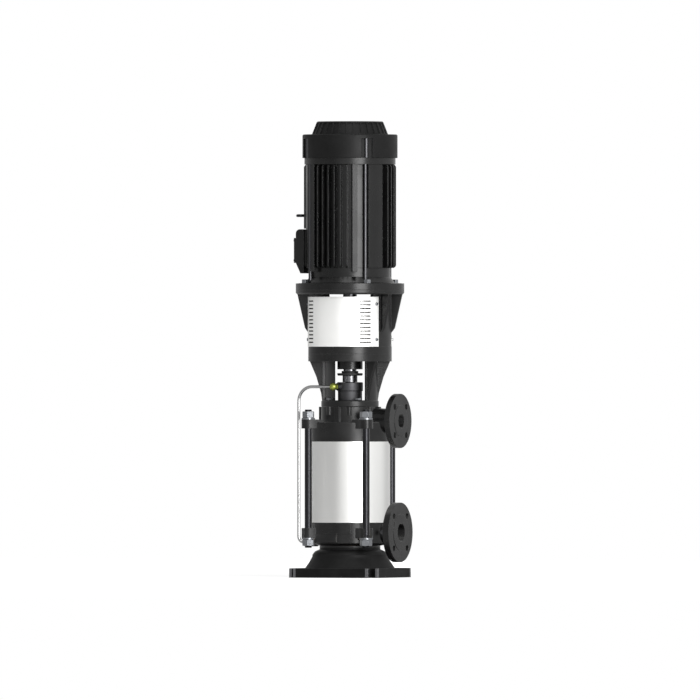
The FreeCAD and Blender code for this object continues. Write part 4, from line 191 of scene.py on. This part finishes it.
def noise(tree, place, size, detail=3.0, roughness=0.5):
    """A cloudy pattern whose patches are about size across, in millimetres."""
    found = add(tree, "ShaderNodeTexNoise",
                {"Vector": place, "Scale": 1 / (size * MM), "Detail": detail,
                 "Roughness": roughness})
    return found.outputs["Fac"]


def tint(tree, share, first, second):
    """A blend of two colours, each a hex value or the output of another node."""
    first, second = (linear(side) if isinstance(side, str) else side for side in (first, second))
    found = add(tree, "ShaderNodeMix", {"Factor": share, COLOUR_A: first, COLOUR_B: second},
                data_type="RGBA")
    return found.outputs[COLOUR_OUT]


def soft_edges(tree, radius):
    """Normals that round an edge off, and a mask that is 1 on the edge itself."""
    bevel = add(tree, "ShaderNodeBevel", {"Radius": radius * MM}, samples=6)
    flat = add(tree, "ShaderNodeNewGeometry").outputs["Normal"]
    same = add(tree, "ShaderNodeVectorMath", {0: bevel.outputs[0], 1: flat},
               operation="DOT_PRODUCT")
    edge = spread(tree, same.outputs["Value"], low=1.0, high=0.0, start=MOST_TURNED,
                  stop=LEAST_TURNED)
    return bevel.outputs[0], edge


def bumps(tree, height, depth, normal):
    """Normals of a relief that is depth millimetres deep, on top of other normals."""
    return add(tree, "ShaderNodeBump",
               {"Height": height, "Distance": depth * MM, "Strength": 1.0,
                "Normal": normal}).outputs[0]


def round_the_shaft(tree, place, stretch):
    """Coordinates round and along the upright axis. Patterns grow longer round it by stretch."""
    split = add(tree, "ShaderNodeSeparateXYZ", {0: place})
    turn = sum_of(tree, "ARCTAN2", split.outputs["Y"], split.outputs["X"])
    lap = sum_of(tree, "MULTIPLY", turn, LAP_RADIUS * MM / stretch)
    return add(tree, "ShaderNodeCombineXYZ", {0: lap, 1: split.outputs["Z"]}).outputs[0]


# %% [markdown]
# ### Enamel on grey iron
#
# The castings are sand cast and then sprayed with a semi-gloss black enamel. The sand leaves a
# pebbled skin about 2 mm across under the paint, which breaks up the highlights, and the spray
# settles in wider ripples over it. Every edge is painted a little paler: a painted highlight where
# edges catch the light, which also stands for paint rubbed thin by handling.

# %% Enamelled castings and pressings
PAINT_RADIUS = 1.6
RIPPLE_SIZE, RIPPLE_DEPTH = 9, 0.05
HAZE_SIZE, HAZE_LOW, HAZE_HIGH = 60, -0.05, 0.07  # what haze adds to the roughness
# The last two say how far dust and the edges go to the paler colour; on edges that is a painted
# highlight and rubbed paint.
DUST_SIZE, MOST_DUST, MOST_EDGE_HIGHLIGHT_AND_WEAR = 35, 0.10, 0.6


def enamel(name, colour, dust_wear_and_edge_highlight, sand, sand_depth, roughness, gloss=0.30):
    """A sprayed paint: colour where it is whole, paler in dusty patches, and paler along every edge
    as a painted highlight and rubbed paint.
    """
    material, tree, shader, place = finish(name, colour, roughness,
                                           **{"Specular IOR Level": gloss})
    normal, edge = soft_edges(tree, PAINT_RADIUS)
    haze = spread(tree, noise(tree, place, HAZE_SIZE, detail=2),
                  roughness + HAZE_LOW, roughness + HAZE_HIGH)
    skin = noise(tree, place, sand, detail=4, roughness=0.6)
    ripples = bumps(tree, noise(tree, place, RIPPLE_SIZE, detail=2), RIPPLE_DEPTH, normal)
    dust = spread(tree, noise(tree, place, DUST_SIZE, detail=5), 0.0, MOST_DUST)
    base = tint(tree, dust, colour, dust_wear_and_edge_highlight)
    # Paler along every edge: a painted highlight, with rubbed paint.
    shown = tint(tree, sum_of(tree, "MULTIPLY", edge, MOST_EDGE_HIGHLIGHT_AND_WEAR), base, dust_wear_and_edge_highlight)
    tree.links.new(shown, shader.inputs["Base Color"])
    tree.links.new(haze, shader.inputs["Roughness"])
    tree.links.new(bumps(tree, skin, sand_depth, ripples), shader.inputs["Normal"])
    return material


# The second colour is the dust and the painted edge highlight with rubbed paint.
black_casting = enamel("Black enamel on sand cast iron", "#0b0b0b", "#444444",
                       sand=2.2, sand_depth=0.05, roughness=0.30)
black_barrel = enamel("Black enamel on die cast aluminium", "#0a0a0a", "#303030",
                      sand=1.2, sand_depth=0.02, roughness=0.27)
black_pressing = enamel("Black enamel on pressed steel", "#0b0b0b", "#303030",
                        sand=0.8, sand_depth=0.01, roughness=0.48, gloss=0.16)
black_foot = enamel("Dull black enamel on sand cast iron", "#0e0e0e", "#3c3c3c",
                    sand=2.2, sand_depth=0.06, roughness=0.46, gloss=0.10)

# %% [markdown]
# The mouths of the anchor slots are ground after the foot is painted, so their walls are bare iron.
# The slots lie on the diagonals of the plate. On a diagonal, the two level coordinates add up to
# the distance from the shaft times the root of 2, and their difference tells the distance from the
# slot's middle line in the same way. So four comparisons find the walls.

# %% Ground mouths of the anchor slots
MOUTH_START = 169  # along the diagonal, where the slot begins to widen
MOUTH_HALF = 21.3  # half of its width at the widest
PLATE_TOP = 26.2  # just above the plate
UPRIGHT = 0.5  # the most that the normal of an upright wall leans up or down


def mouth_walls(tree):
    """A mask that is 1 on the upright walls of the slots' mouths."""
    place = add(tree, "ShaderNodeSeparateXYZ",
                {0: add(tree, "ShaderNodeTexCoord").outputs["Object"]})
    facing = add(tree, "ShaderNodeSeparateXYZ",
                 {0: add(tree, "ShaderNodeNewGeometry").outputs["True Normal"]})
    wide, deep = (sum_of(tree, "ABSOLUTE", place.outputs[axis]) for axis in ("X", "Y"))
    along = sum_of(tree, "ADD", wide, deep)
    aside = sum_of(tree, "ABSOLUTE", sum_of(tree, "SUBTRACT", wide, deep))
    lean = sum_of(tree, "ABSOLUTE", facing.outputs["Z"])
    mask = sum_of(tree, "LESS_THAN", lean, UPRIGHT)
    for operation, value, limit in (("GREATER_THAN", along, MOUTH_START * math.sqrt(2)),
                                    ("LESS_THAN", aside, MOUTH_HALF * math.sqrt(2)),
                                    ("LESS_THAN", place.outputs["Z"], PLATE_TOP)):
        mask = sum_of(tree, "MULTIPLY", mask, sum_of(tree, operation, value, limit * MM))
    return mask


def lay_bare(material, mask_maker, colour):
    """Takes the paint off a finish where a mask is 1, down to metal of a colour."""
    tree = material.node_tree
    shader = next(node for node in tree.nodes if node.type == "BSDF_PRINCIPLED")
    mask = mask_maker(tree)
    painted = shader.inputs["Base Color"].links[0].from_socket
    tree.links.new(tint(tree, mask, painted, colour), shader.inputs["Base Color"])
    tree.links.new(mask, shader.inputs["Metallic"])


lay_bare(black_foot, mouth_walls, "#707072")

# %% [markdown]
# ### Stainless and plated steel
#
# A metal has no colour of its own but its reflection, so its roughness and the direction of its
# scratches do the work. The sleeve is a polished tube with scratches round the shaft; the guards
# are brushed sheet with an upright grain; bolts and nuts are zinc plated, which dulls them in
# patches.

# %% Metals
PATCH_SIZE = 30


def metal(name, colour, roughness, grain, stretch, depth, edge=0.6, patch=0.06, metallic=1.0):
    """A metal with scratches, which run round the shaft with a stretch above 1, and along it below.

    The grain, its depth and the radius of an edge are in millimetres. The roughness changes from
    place to place by patch, up and down."""
    material, tree, shader, place = finish(name, colour, roughness, metallic)
    scratch = noise(tree, round_the_shaft(tree, place, stretch), grain, detail=4, roughness=0.7)
    patches = spread(tree, noise(tree, place, PATCH_SIZE), roughness - patch, roughness + patch)
    normal, _ = soft_edges(tree, edge)
    tree.links.new(patches, shader.inputs["Roughness"])
    tree.links.new(bumps(tree, scratch, depth, normal), shader.inputs["Normal"])
    return material


polished_stainless = metal("Polished stainless tube", "#e6e6e4", 0.29,
                           grain=0.8, stretch=30, depth=0.0003, patch=0.01)
brushed_stainless = metal("Brushed stainless sheet", "#f2f2f0", 0.40,
                          grain=0.7, stretch=0.04, depth=0.004, metallic=0.55)
cast_stainless = metal("Pressed stainless", "#b9b9b8", 0.34, grain=1.5, stretch=1, depth=0.02)
drawn_tube = metal("Drawn stainless tube", "#aeaeae", 0.20, grain=1.5, stretch=1, depth=0.006)
black_oxide = metal("Black oxide steel bar", "#303032", 0.25,
                    grain=0.9, stretch=0.05, depth=0.006, patch=0.03)
dark_plate = metal("Blackened steel", "#4c4c4e", 0.34, grain=1.5, stretch=1, depth=0.02)
zinc_plate = metal("Zinc plated steel", "#7e8083", 0.26,
                   grain=2.0, stretch=1, depth=0.008, edge=0.7)
turned_steel = metal("Turned steel", "#6e6e70", 0.28, grain=0.5, stretch=20, depth=0.008)
ground_steel = metal("Ground bearing steel", "#d2d2d4", 0.12, grain=0.5, stretch=20, depth=0.002)
turned_bronze = metal("Turned bronze", "#c79a5c", 0.30, grain=0.5, stretch=20, depth=0.01)
machined_iron = metal("Machined grey iron", "#4b4b4d", 0.42, grain=1.2, stretch=8, depth=0.02)
faced_iron = metal("Faced grey iron", "#4c4c4e", 0.52, grain=1.2, stretch=8, depth=0.02)
laminated_steel = metal("Varnished laminations", "#5b534a", 0.45,
                        grain=0.8, stretch=20, depth=0.03)

# %% [markdown]
# ### Brass, rubber and plastics
#
# The brass fittings have stood in a damp plant room: their faces are olive, and only the rubbed
# edges and some patches stay yellow.

# %% Brass and soft materials
SOFT_RADIUS = 0.8
CLOUD_SIZE, MOST_BRIGHT = 7, 0.7
PIT_SIZE, PIT_DEPTH = 1.5, 0.02
SHEEN_SIZE, SHEEN_CHANGE = 12, 0.05


def tarnished_brass(name, bright, dull):
    """Brass that is bright on its edges and in patches, and dull elsewhere."""
    material, tree, shader, place = finish(name, dull, roughness=0.34, metallic=0.65)
    normal, edge = soft_edges(tree, SOFT_RADIUS)
    cloud = spread(tree, noise(tree, place, CLOUD_SIZE, detail=4), 0.0, MOST_BRIGHT)
    pits = bumps(tree, noise(tree, place, PIT_SIZE), PIT_DEPTH, normal)
    shown = tint(tree, edge, tint(tree, cloud, dull, bright), bright)
    tree.links.new(shown, shader.inputs["Base Color"])
    tree.links.new(pits, shader.inputs["Normal"])
    return material


def moulded(name, colour, roughness, grain=0.6, depth=0.02):
    """Rubber or plastic with the fine grain of its mould."""
    material, tree, shader, place = finish(name, colour, roughness)
    normal, _ = soft_edges(tree, SOFT_RADIUS)
    relief = bumps(tree, noise(tree, place, grain), depth, normal)
    sheen = spread(tree, noise(tree, place, SHEEN_SIZE),
                   roughness - SHEEN_CHANGE, roughness + SHEEN_CHANGE)
    tree.links.new(relief, shader.inputs["Normal"])
    tree.links.new(sheen, shader.inputs["Roughness"])
    return material


oiled_brass = tarnished_brass("Tarnished brass", "#b9bf5e", "#7d8638")
plated_brass = tarnished_brass("Nickel plated brass", "#c9c4ae", "#8f8a76")
nitrile_rubber = moulded("Nitrile rubber", "#141414", 0.62)
red_polyurethane = moulded("Red polyurethane", "#9a2418", 0.45)
fan_plastic = moulded("Glass filled nylon", "#191919", 0.5)
carbon = moulded("Lapped carbon", "#1b1b1c", 0.3, grain=0.3, depth=0.005)

# %% Give each measured piece its finish
FINISHES = {
    black_foot: "base_foot",
    black_casting: "suction_casing discharge_casing lantern motor_stool terminal_box terminal_lid",
    black_barrel: "drive_end_shield fan_end_shield motor_frame",
    black_pressing: "fan_cover fan_grille",
    polished_stainless: "outer_sleeve",
    brushed_stainless: "coupling_guard_front coupling_guard_rear",
    cast_stainless: "impeller_1 impeller_2 impeller_3 impeller_4 "
                    "stage_chamber_1 stage_chamber_2 stage_chamber_3 stage_chamber_4",
    drawn_tube: "flush_pipe",
    black_oxide: "stay_rods eye_bolt",
    dark_plate: "plugs gland_screws tie_rods",
    zinc_plate: "stay_nuts stay_washers flange_bolts stool_screws lantern_screws foot_screws "
                "guard_screws lid_screws",
    turned_steel: "pump_shaft motor_shaft shaft_nut impeller_spacers bearing_cover",
    ground_steel: "bearing_outer_rings bearing_inner_rings bearing_balls",
    turned_bronze: "lower_bush",
    machined_iron: "coupling_lower coupling_upper",
    faced_iron: "seal_gland",
    laminated_steel: "stator rotor_core",
    oiled_brass: "flush_fittings",
    plated_brass: "cable_gland",
    carbon: "seal_ring seal_seat",
    nitrile_rubber: "sleeve_o_rings flinger",
    red_polyurethane: "coupling_spider",
    fan_plastic: "cooling_fan terminal_block",
}
for material, names in FINISHES.items():
    for name in names.split():
        piece = nodes[name]
        piece.data.materials.clear()
        piece.data.materials.append(material)
bare = [name for name, piece in nodes.items() if piece.data.materials[0] not in FINISHES]
print("pieces with no finish:", bare)

# %% [markdown]
# The two casings stay out of the mirrors, and so do the stay rods further down. Their mirror images
# would stand as dark blots and lines on the sleeve, which a catalogue picture doesn't show.

# %% Keep the flanges out of the sleeve's mirror
for name in ("suction_casing", "discharge_casing"):
    nodes[name].visible_glossy = False

# %% [markdown]
# ## Fasteners
#
# The measured bolts are plain prisms. A real nut is turned after it is cut to six sides, which
# leaves a cone of 30 degrees on each end, and a real screw has a socket to turn it by. Each kind is
# drawn once, as rings of points from one end to the other, and a node group sets it on every
# marker, turned to the marker's own direction.

# %% Rings of points become a solid
RING_STEPS = 48
CHAMFER = math.tan(math.radians(30))
SHANK_SHOWN = 4  # how much of a shank stays below its head
SOCKET_TAPER, SOCKET_FLOOR = 0.96, 0.35  # shares of the socket's width and the head's height


def hexagon(flats, angle):
    """How far a hexagon reaches in a direction, with a corner at angle 0."""
    return flats / 2 / math.cos(angle % (math.pi / 3) - math.pi / 6)


def solid_of_rings(name, rings, closed=False):
    """A mesh through rings, each (radius, height) or a function of the angle that gives both."""
    corners, faces = [], []
    for ring in rings:
        for step in range(RING_STEPS):
            angle = 2 * math.pi * step / RING_STEPS
            radius, height = ring(angle) if callable(ring) else ring
            corners.append((radius * math.cos(angle) * MM, radius * math.sin(angle) * MM,
                            height * MM))
    bands = len(rings) if closed else len(rings) - 1
    for band in range(bands):
        low, high = band * RING_STEPS, (band + 1) % len(rings) * RING_STEPS
        for step in range(RING_STEPS):
            after = (step + 1) % RING_STEPS
            faces.append((low + step, low + after, high + after, high + step))
    if not closed:
        faces.append(tuple(reversed(range(RING_STEPS))))
        faces.append(tuple(range((len(rings) - 1) * RING_STEPS, len(rings) * RING_STEPS)))
    mesh = bpy.data.meshes.new(name)
    mesh.from_pydata(corners, [], faces)
    return bpy.data.objects.new(name, mesh)


def hexagon_ring(flats, level, circle=None, way=0):
    """A six sided ring. With a circle, a chamfer moves its corners up (way 1) or down (way -1)."""
    def corner(angle):
        reach = hexagon(flats, angle)
        drop = 0 if circle is None else (reach - circle) * CHAMFER
        return reach, level + way * drop
    return corner


def nut(name, flats, high, bore):
    """A nut with a chamfer and a countersink on both ends."""
    circle, lead = 0.48 * flats, 0.9
    return solid_of_rings(name, [
        (bore, lead), (bore + lead, 0), (circle, 0), hexagon_ring(flats, 0, circle, 1),
        hexagon_ring(flats, high, circle, -1), (circle, high), (bore + lead, high),
        (bore, high - lead),
    ], closed=True)


def bolt(name, flats, high, shank):
    """A bolt head on a washer face, with a shallow dish in its top."""
    circle, seat = 0.475 * flats, 0.5
    dish_rim, dish_floor, dish_depth = 0.33 * flats, 0.31 * flats, 0.35
    return solid_of_rings(name, [
        (shank, -SHANK_SHOWN), (shank, 0), (circle, 0), (circle, seat), hexagon_ring(flats, seat),
        hexagon_ring(flats, high, circle, -1), (circle, high), (dish_rim, high),
        (dish_floor, high - dish_depth),
    ])


def socket_screw(name, head, high, shank, socket, dome):
    """A round head with a six sided socket. The shoulder's curve takes the share dome of it."""
    curve = [(head - dome * high * (1 - math.cos(turn)),
              high * (1 - dome) + dome * high * math.sin(turn))
             for turn in (0, math.pi / 6, math.pi / 3, math.pi / 2)]
    return solid_of_rings(name, [
        (shank, -SHANK_SHOWN), (shank, 0), (head, 0), *curve,
        hexagon_ring(socket, high), hexagon_ring(socket * SOCKET_TAPER, high * SOCKET_FLOOR),
    ])


# %% One node group that sets a part on every marker
def marker_tree():
    """Points with an aim and a spin go in. The part on each comes out, as one mesh in a finish."""
    tree, start = geometry_tree("Part on every marker", ("Geometry", "Geometry"),
                                ("Part", "Object"), ("Finish", "Material"))
    aim = add(tree, "GeometryNodeInputNamedAttribute", {"Name": "aim"}, data_type="FLOAT_VECTOR")
    spin = add(tree, "GeometryNodeInputNamedAttribute", {"Name": "spin"}, data_type="FLOAT")
    facing = add(tree, "FunctionNodeAlignRotationToVector", {"Vector": aim.outputs["Attribute"]},
                 axis="Z")
    about = add(tree, "FunctionNodeAxisAngleToRotation",
                {"Axis": (0, 0, 1), "Angle": spin.outputs["Attribute"]})
    turned = add(tree, "FunctionNodeRotateRotation",
                 {"Rotation": facing.outputs[0], "Rotate By": about.outputs[0]},
                 rotation_space="LOCAL")
    part = add(tree, "GeometryNodeObjectInfo", {"Object": start.outputs["Part"]})
    copies = add(tree, "GeometryNodeInstanceOnPoints",
                 {"Points": start.outputs["Geometry"], "Instance": part.outputs["Geometry"],
                  "Rotation": turned.outputs[0]})
    whole = add(tree, "GeometryNodeRealizeInstances", {"Geometry": copies.outputs[0]})
    dressed = add(tree, "GeometryNodeSetMaterial",
                  {"Geometry": whole.outputs[0], "Material": start.outputs["Finish"]})
    add(tree, "NodeGroupOutput", {0: dressed.outputs[0]})
    return tree


markers = marker_tree()


def set_input(modifier, name, value):
    """Sets a named input of a node group by its socket's identifier."""
    for socket in modifier.node_group.interface.items_tree:
        if socket.item_type == "SOCKET" and socket.in_out == "INPUT" and socket.name == name:
            modifier[socket.identifier] = value


def dress(node, part, finish_used, places, instead=True):
    """Sets a part at places, instead of the measured node or on top of it.

    A place is (point, aim, spin in degrees)."""
    mesh = bpy.data.meshes.new("markers")
    mesh.from_pydata([Vector(point) * MM for point, _, _ in places], [], [])
    aims = mesh.attributes.new("aim", "FLOAT_VECTOR", "POINT")
    aims.data.foreach_set("vector", [share for _, aim, _ in places for share in aim])
    spins = mesh.attributes.new("spin", "FLOAT", "POINT")
    spins.data.foreach_set("value", [math.radians(turn) for _, _, turn in places])
    holder = place_object("markers", mesh)
    modifier = holder.modifiers.new("Part on every marker", "NODES")
    modifier.node_group = markers
    set_input(modifier, "Part", part)
    set_input(modifier, "Finish", finish_used)
    graph = bpy.context.evaluated_depsgraph_get()
    whole = bpy.data.meshes.new_from_object(holder.evaluated_get(graph))
    whole.name = node + "_dressed"
    piece = place_object(whole.name, whole)
    bpy.data.objects.remove(holder)
    bpy.data.objects.remove(part)
    piece.modifiers.new("Smooth barrels", "NODES").node_group = smooth
    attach(piece, "housing")
    if instead:
        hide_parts(node)
    return piece


def upright(circle, level, turns, spin=None):
    """Places on a circle round the shaft, aiming up. With no spin, a part turns to the shaft."""
    return [((circle * math.cos(math.radians(turn)), circle * math.sin(math.radians(turn)), level),
             (0, 0, 1), turn if spin is None else spin) for turn in turns]


def outward(circle, levels, turns):
    """Places on a barrel round the shaft, aiming away from it."""
    found = []
    for turn in turns:
        side = (math.cos(math.radians(turn)), math.sin(math.radians(turn)))
        found += [((circle * side[0], circle * side[1], level), (*side, 0), 0) for level in levels]
    return found


# %% [markdown]
# ### Nuts, bolts, screws and plugs
#
# Each one stands where the measured model has its plain prism, and is as wide and as high.

# %% Set the fasteners
DIAGONALS = (45, 135, 225, 315)
STRAIGHTS = (0, 90, 180, 270)
ROD_CIRCLE = 123.5
LOWER_NUTS, UPPER_NUTS = 87.5, 441.5
LID_FACE = -149
PLUG_PLACES = [  # the gauge plug of each port's neck, and the drain or the vent behind
    ((118, -37, 125), (0, -1, 0), 0), ((0, 112.5, 115), (0, 1, 0), 0),
    ((118, 37, 433), (0, 1, 0), 0), ((0, 112.5, 400), (0, 1, 0), 0),
]

dress("stay_nuts", nut("nut", flats=30, high=18, bore=10.2), zinc_plate,
      upright(ROD_CIRCLE, LOWER_NUTS, DIAGONALS) + upright(ROD_CIRCLE, UPPER_NUTS, DIAGONALS))
dress("flange_bolts", bolt("bolt", flats=18, high=11, shank=6), zinc_plate,
      upright(circle=132.5, level=813, turns=DIAGONALS, spin=0))
dress("stool_screws", bolt("bolt", flats=18, high=7.5, shank=6), zinc_plate,
      upright(circle=92, level=638, turns=DIAGONALS, spin=0))
dress("lantern_screws", bolt("bolt", flats=16, high=6.4, shank=5), zinc_plate,
      upright(circle=62, level=490, turns=DIAGONALS, spin=0))
dress("gland_screws", socket_screw("screw", head=5, high=6, shank=3, socket=5, dome=0.12),
      dark_plate, upright(circle=29.5, level=534, turns=STRAIGHTS))
dress("guard_screws", socket_screw("screw", head=4.6, high=2.6, shank=2.5, socket=3.4, dome=0.7),
      zinc_plate, outward(circle=116.8, levels=(658, 756), turns=(27, -27, 153, 207)))
dress("lid_screws", socket_screw("screw", head=4.5, high=3, shank=2.5, socket=3.2, dome=0.6),
      zinc_plate, [((LID_FACE, side, level), (-1, 0, 0), 0)
                   for side in (40, -40) for level in (877, 932)])
dress("plugs", bolt("plug", flats=14, high=7, shank=6.5), dark_plate, PLUG_PLACES)

# %% [markdown]
# ### Threads on the stay rods
#
# A rod of 20 mm has a thread of 2.5 mm pitch on each end. The thread is rolled, so its crests are
# round, and the end has a chamfer where the nut starts.

# %% Stay rods
ROD_RADIUS, ROD_LENGTH, ROD_FOOT = 10, 382, 82.5
THREADED, PITCH, THREAD_DEPTH, LEAD = 34, 2.5, 1.0, 1.5
CREST_START, CREST_STOP = 0.3, 0.5  # shares of the pitch


def threaded_rod(name):
    """A stay rod with rings of thread at both ends."""
    root = ROD_RADIUS - THREAD_DEPTH
    crests = int(THREADED / PITCH)
    low_end = [(ROD_RADIUS - LEAD, 0), (root, LEAD - THREAD_DEPTH)]
    for crest in range(crests):
        start = LEAD + crest * PITCH
        low_end += [(ROD_RADIUS, start + PITCH * CREST_START),
                    (ROD_RADIUS, start + PITCH * CREST_STOP), (root, start + PITCH)]
    low_end.append((ROD_RADIUS, LEAD + crests * PITCH + THREAD_DEPTH))
    high_end = [(reach, ROD_LENGTH - level) for reach, level in reversed(low_end)]
    return solid_of_rings(name, low_end + high_end)


rods = dress("stay_rods", threaded_rod("rod"), black_oxide,
             upright(ROD_CIRCLE, ROD_FOOT, DIAGONALS))
rods.visible_glossy = False

# %% [markdown]
# ### Strips on the fan cover
#
# The bead at the bottom of each recess carries a strip of blackened steel, the same as the tie rods
# below it.

# %% Strips in the recesses
STRIP_LOW, STRIP_HIGH, STRIP_RADIUS, STRIP_CIRCLE = 1160, 1213.2, 5.7, 124.5
strip = solid_of_rings("strip", [(STRIP_RADIUS, 0), (STRIP_RADIUS, STRIP_HIGH - STRIP_LOW)])
dress("fan_cover", strip, dark_plate, upright(STRIP_CIRCLE, STRIP_LOW, DIAGONALS), instead=False)

# %% [markdown]
# ## Floor, light and camera
#
# The machine stands in a white studio. The studio's own sizes are in metres. Every direction below
# is an azimuth from the camera's own direction to the right, in degrees round the shaft.

# %% Directions round the pump
CAMERA_AZIMUTH = 24  # from the front of the pump to its right
AIM_HEIGHT = 0.629  # the middle of the pump, in metres


def direction(azimuth):
    """The level direction from the shaft towards an azimuth."""
    turn = math.radians(CAMERA_AZIMUTH + azimuth)
    return Vector((math.sin(turn), -math.cos(turn), 0))


def face_the_pump(thing, azimuth, reach, height):
    """Puts a lamp or the camera round the pump, in metres, facing the middle of it."""
    outwards = direction(azimuth)
    inwards = -outwards - Vector((0, 0, (height - AIM_HEIGHT) / reach))
    thing.matrix_world = (Matrix.Translation(outwards * reach + Vector((0, 0, height)))
                          @ inwards.to_track_quat("-Z", "Y").to_matrix().to_4x4())


# %% [markdown]
# ### The floor
#
# The floor is pale and takes the shadow of the pump. Near the pump, the camera sees the pale
# surface mixed with a white glow. Further out it sees the glow alone, so the floor runs into the
# white of the world without a line.

# %% A pale floor
FLOOR_SPAN = 9.0  # in metres
FLOOR_GAP = 0.2  # below the base plate, in millimetres
FADE_START, FADE_STOP = 0.15, 0.6  # shares of half the span


def studio_floor(glow_share, glow_strength):
    """A floor that takes a faint shadow near the pump, and fades to white further out."""
    mesh = bpy.data.meshes.new("studio_floor")
    half = FLOOR_SPAN / 2
    mesh.from_pydata([(-half, -half, 0), (half, -half, 0), (half, half, 0), (-half, half, 0)],
                     [], [(0, 1, 2, 3)])
    floor = place_object("studio_floor", mesh)
    material = bpy.data.materials.new("Pale studio floor")
    tree = empty_tree(material)
    seen = add(tree, "ShaderNodeLightPath").outputs["Is Camera Ray"]
    place = add(tree, "ShaderNodeTexCoord").outputs["Object"]
    away = add(tree, "ShaderNodeVectorMath", {0: place}, operation="LENGTH")
    fade = spread(tree, away.outputs["Value"], glow_share, 1,
                  start=FADE_START * half, stop=FADE_STOP * half, curve="SMOOTHSTEP")
    chalk = add(tree, "ShaderNodeBsdfDiffuse", {"Color": linear("#e6e6e6")})
    glow = add(tree, "ShaderNodeEmission", {"Color": (1, 1, 1, 1), "Strength": glow_strength})
    both = add(tree, "ShaderNodeMixShader",
               {0: sum_of(tree, "MULTIPLY", seen, fade), 1: chalk.outputs[0], 2: glow.outputs[0]})
    add(tree, "ShaderNodeOutputMaterial", {"Surface": both.outputs[0]})
    mesh.materials.append(material)
    floor.location.z = cad_low.z - FLOOR_GAP * MM


studio_floor(glow_share=0.5, glow_strength=1.48)

# %% [markdown]
# ### The room and the lamps
#
# The world is white to the camera and a plain fill for matt surfaces. Metal mirrors a room whose
# right half is a bright wall and whose left half is dimmer, which gives the sleeve its grey side
# and its bright side.
#
# One tall window, a little right of the camera, draws the light line on every painted barrel. A
# dimmer one on the left only lights matt surfaces and stays out of the mirrors, and one overhead
# lights the tops.

# %% The world and the lamps
def studio_world(fill, dim_side, bright_side, far_side, rise, fall):
    """A white world with a plain fill, and a room with one bright side for mirrors.

    The room grows from dim_side to bright_side between the two azimuths of rise. Between those of
    fall it drops until only the share far_side of that growth is left."""
    world = bpy.data.worlds.new("White studio")
    bpy.context.scene.world = world
    tree = empty_tree(world)
    outward_ray = add(tree, "ShaderNodeTexCoord").outputs["Generated"]
    towards, right = (add(tree, "ShaderNodeVectorMath", {0: outward_ray, 1: direction(turn)},
                          operation="DOT_PRODUCT").outputs["Value"] for turn in (0, 90))
    azimuth = sum_of(tree, "ARCTAN2", right, towards)
    (rise_start, rise_stop), (fall_start, fall_stop) = (map(math.radians, rise),
                                                        map(math.radians, fall))
    rising = spread(tree, azimuth, 0, 1, rise_start, rise_stop, curve="SMOOTHSTEP")
    falling = spread(tree, azimuth, 1, far_side, fall_start, fall_stop, curve="SMOOTHSTEP")
    share = sum_of(tree, "MULTIPLY", rising, falling)
    room = spread(tree, share, dim_side, bright_side, start=0, stop=1)
    ray = add(tree, "ShaderNodeLightPath")
    level = fill
    for kind, value in (("Is Glossy Ray", room), ("Is Camera Ray", 1.0)):
        level = add(tree, "ShaderNodeMix", {"Factor": ray.outputs[kind], "A": level, "B": value},
                    data_type="FLOAT").outputs[0]
    sky = add(tree, "ShaderNodeBackground", {"Color": (1, 1, 1, 1), "Strength": level})
    add(tree, "ShaderNodeOutputWorld", {"Surface": sky.outputs[0]})


def window(name, azimuth, height, reach, wide, tall, power, mirrored=True):
    """A rectangular lamp that faces the pump, in metres and watts."""
    lamp = bpy.data.lights.new(name, "AREA")
    lamp.shape = "RECTANGLE"
    lamp.size, lamp.size_y, lamp.energy = wide, tall, power
    holder = place_object(name, lamp)
    holder.visible_glossy = mirrored
    face_the_pump(holder, azimuth, reach, height)


studio_world(fill=0.42, dim_side=0.56, bright_side=1.20, far_side=0.25,
             rise=(-44, -16), fall=(98, 132))
window("key_window", azimuth=23, height=0.8, reach=3.0, wide=1.25, tall=2.6, power=95)
window("left_window", azimuth=-75, height=1.2, reach=3.2, wide=0.8, tall=2.2, power=22,
       mirrored=False)
window("top_window", azimuth=0, height=4.2, reach=1.6, wide=2.0, tall=2.0, power=40)

# %% [markdown]
# ### The camera
#
# A very long lens at the height of the middle of the pump looks level at it, so no perspective
# shows and every width can be compared with the measured one.

# %% The camera
CAMERA_REACH = 60.0
VIEW_WIDTH = 1.936
SENSOR_WIDTH = 36  # in millimetres, as lenses are


def studio_camera():
    """A camera whose picture is VIEW_WIDTH metres wide at the pump."""
    lens = bpy.data.cameras.new("camera")
    lens.sensor_width = SENSOR_WIDTH
    lens.lens = SENSOR_WIDTH * CAMERA_REACH / VIEW_WIDTH
    lens.clip_end = 2 * CAMERA_REACH
    camera = place_object("camera", lens)
    face_the_pump(camera, azimuth=0, reach=CAMERA_REACH, height=AIM_HEIGHT)
    bpy.context.scene.camera = camera


studio_camera()
bpy.context.scene.view_settings.view_transform = "Standard"
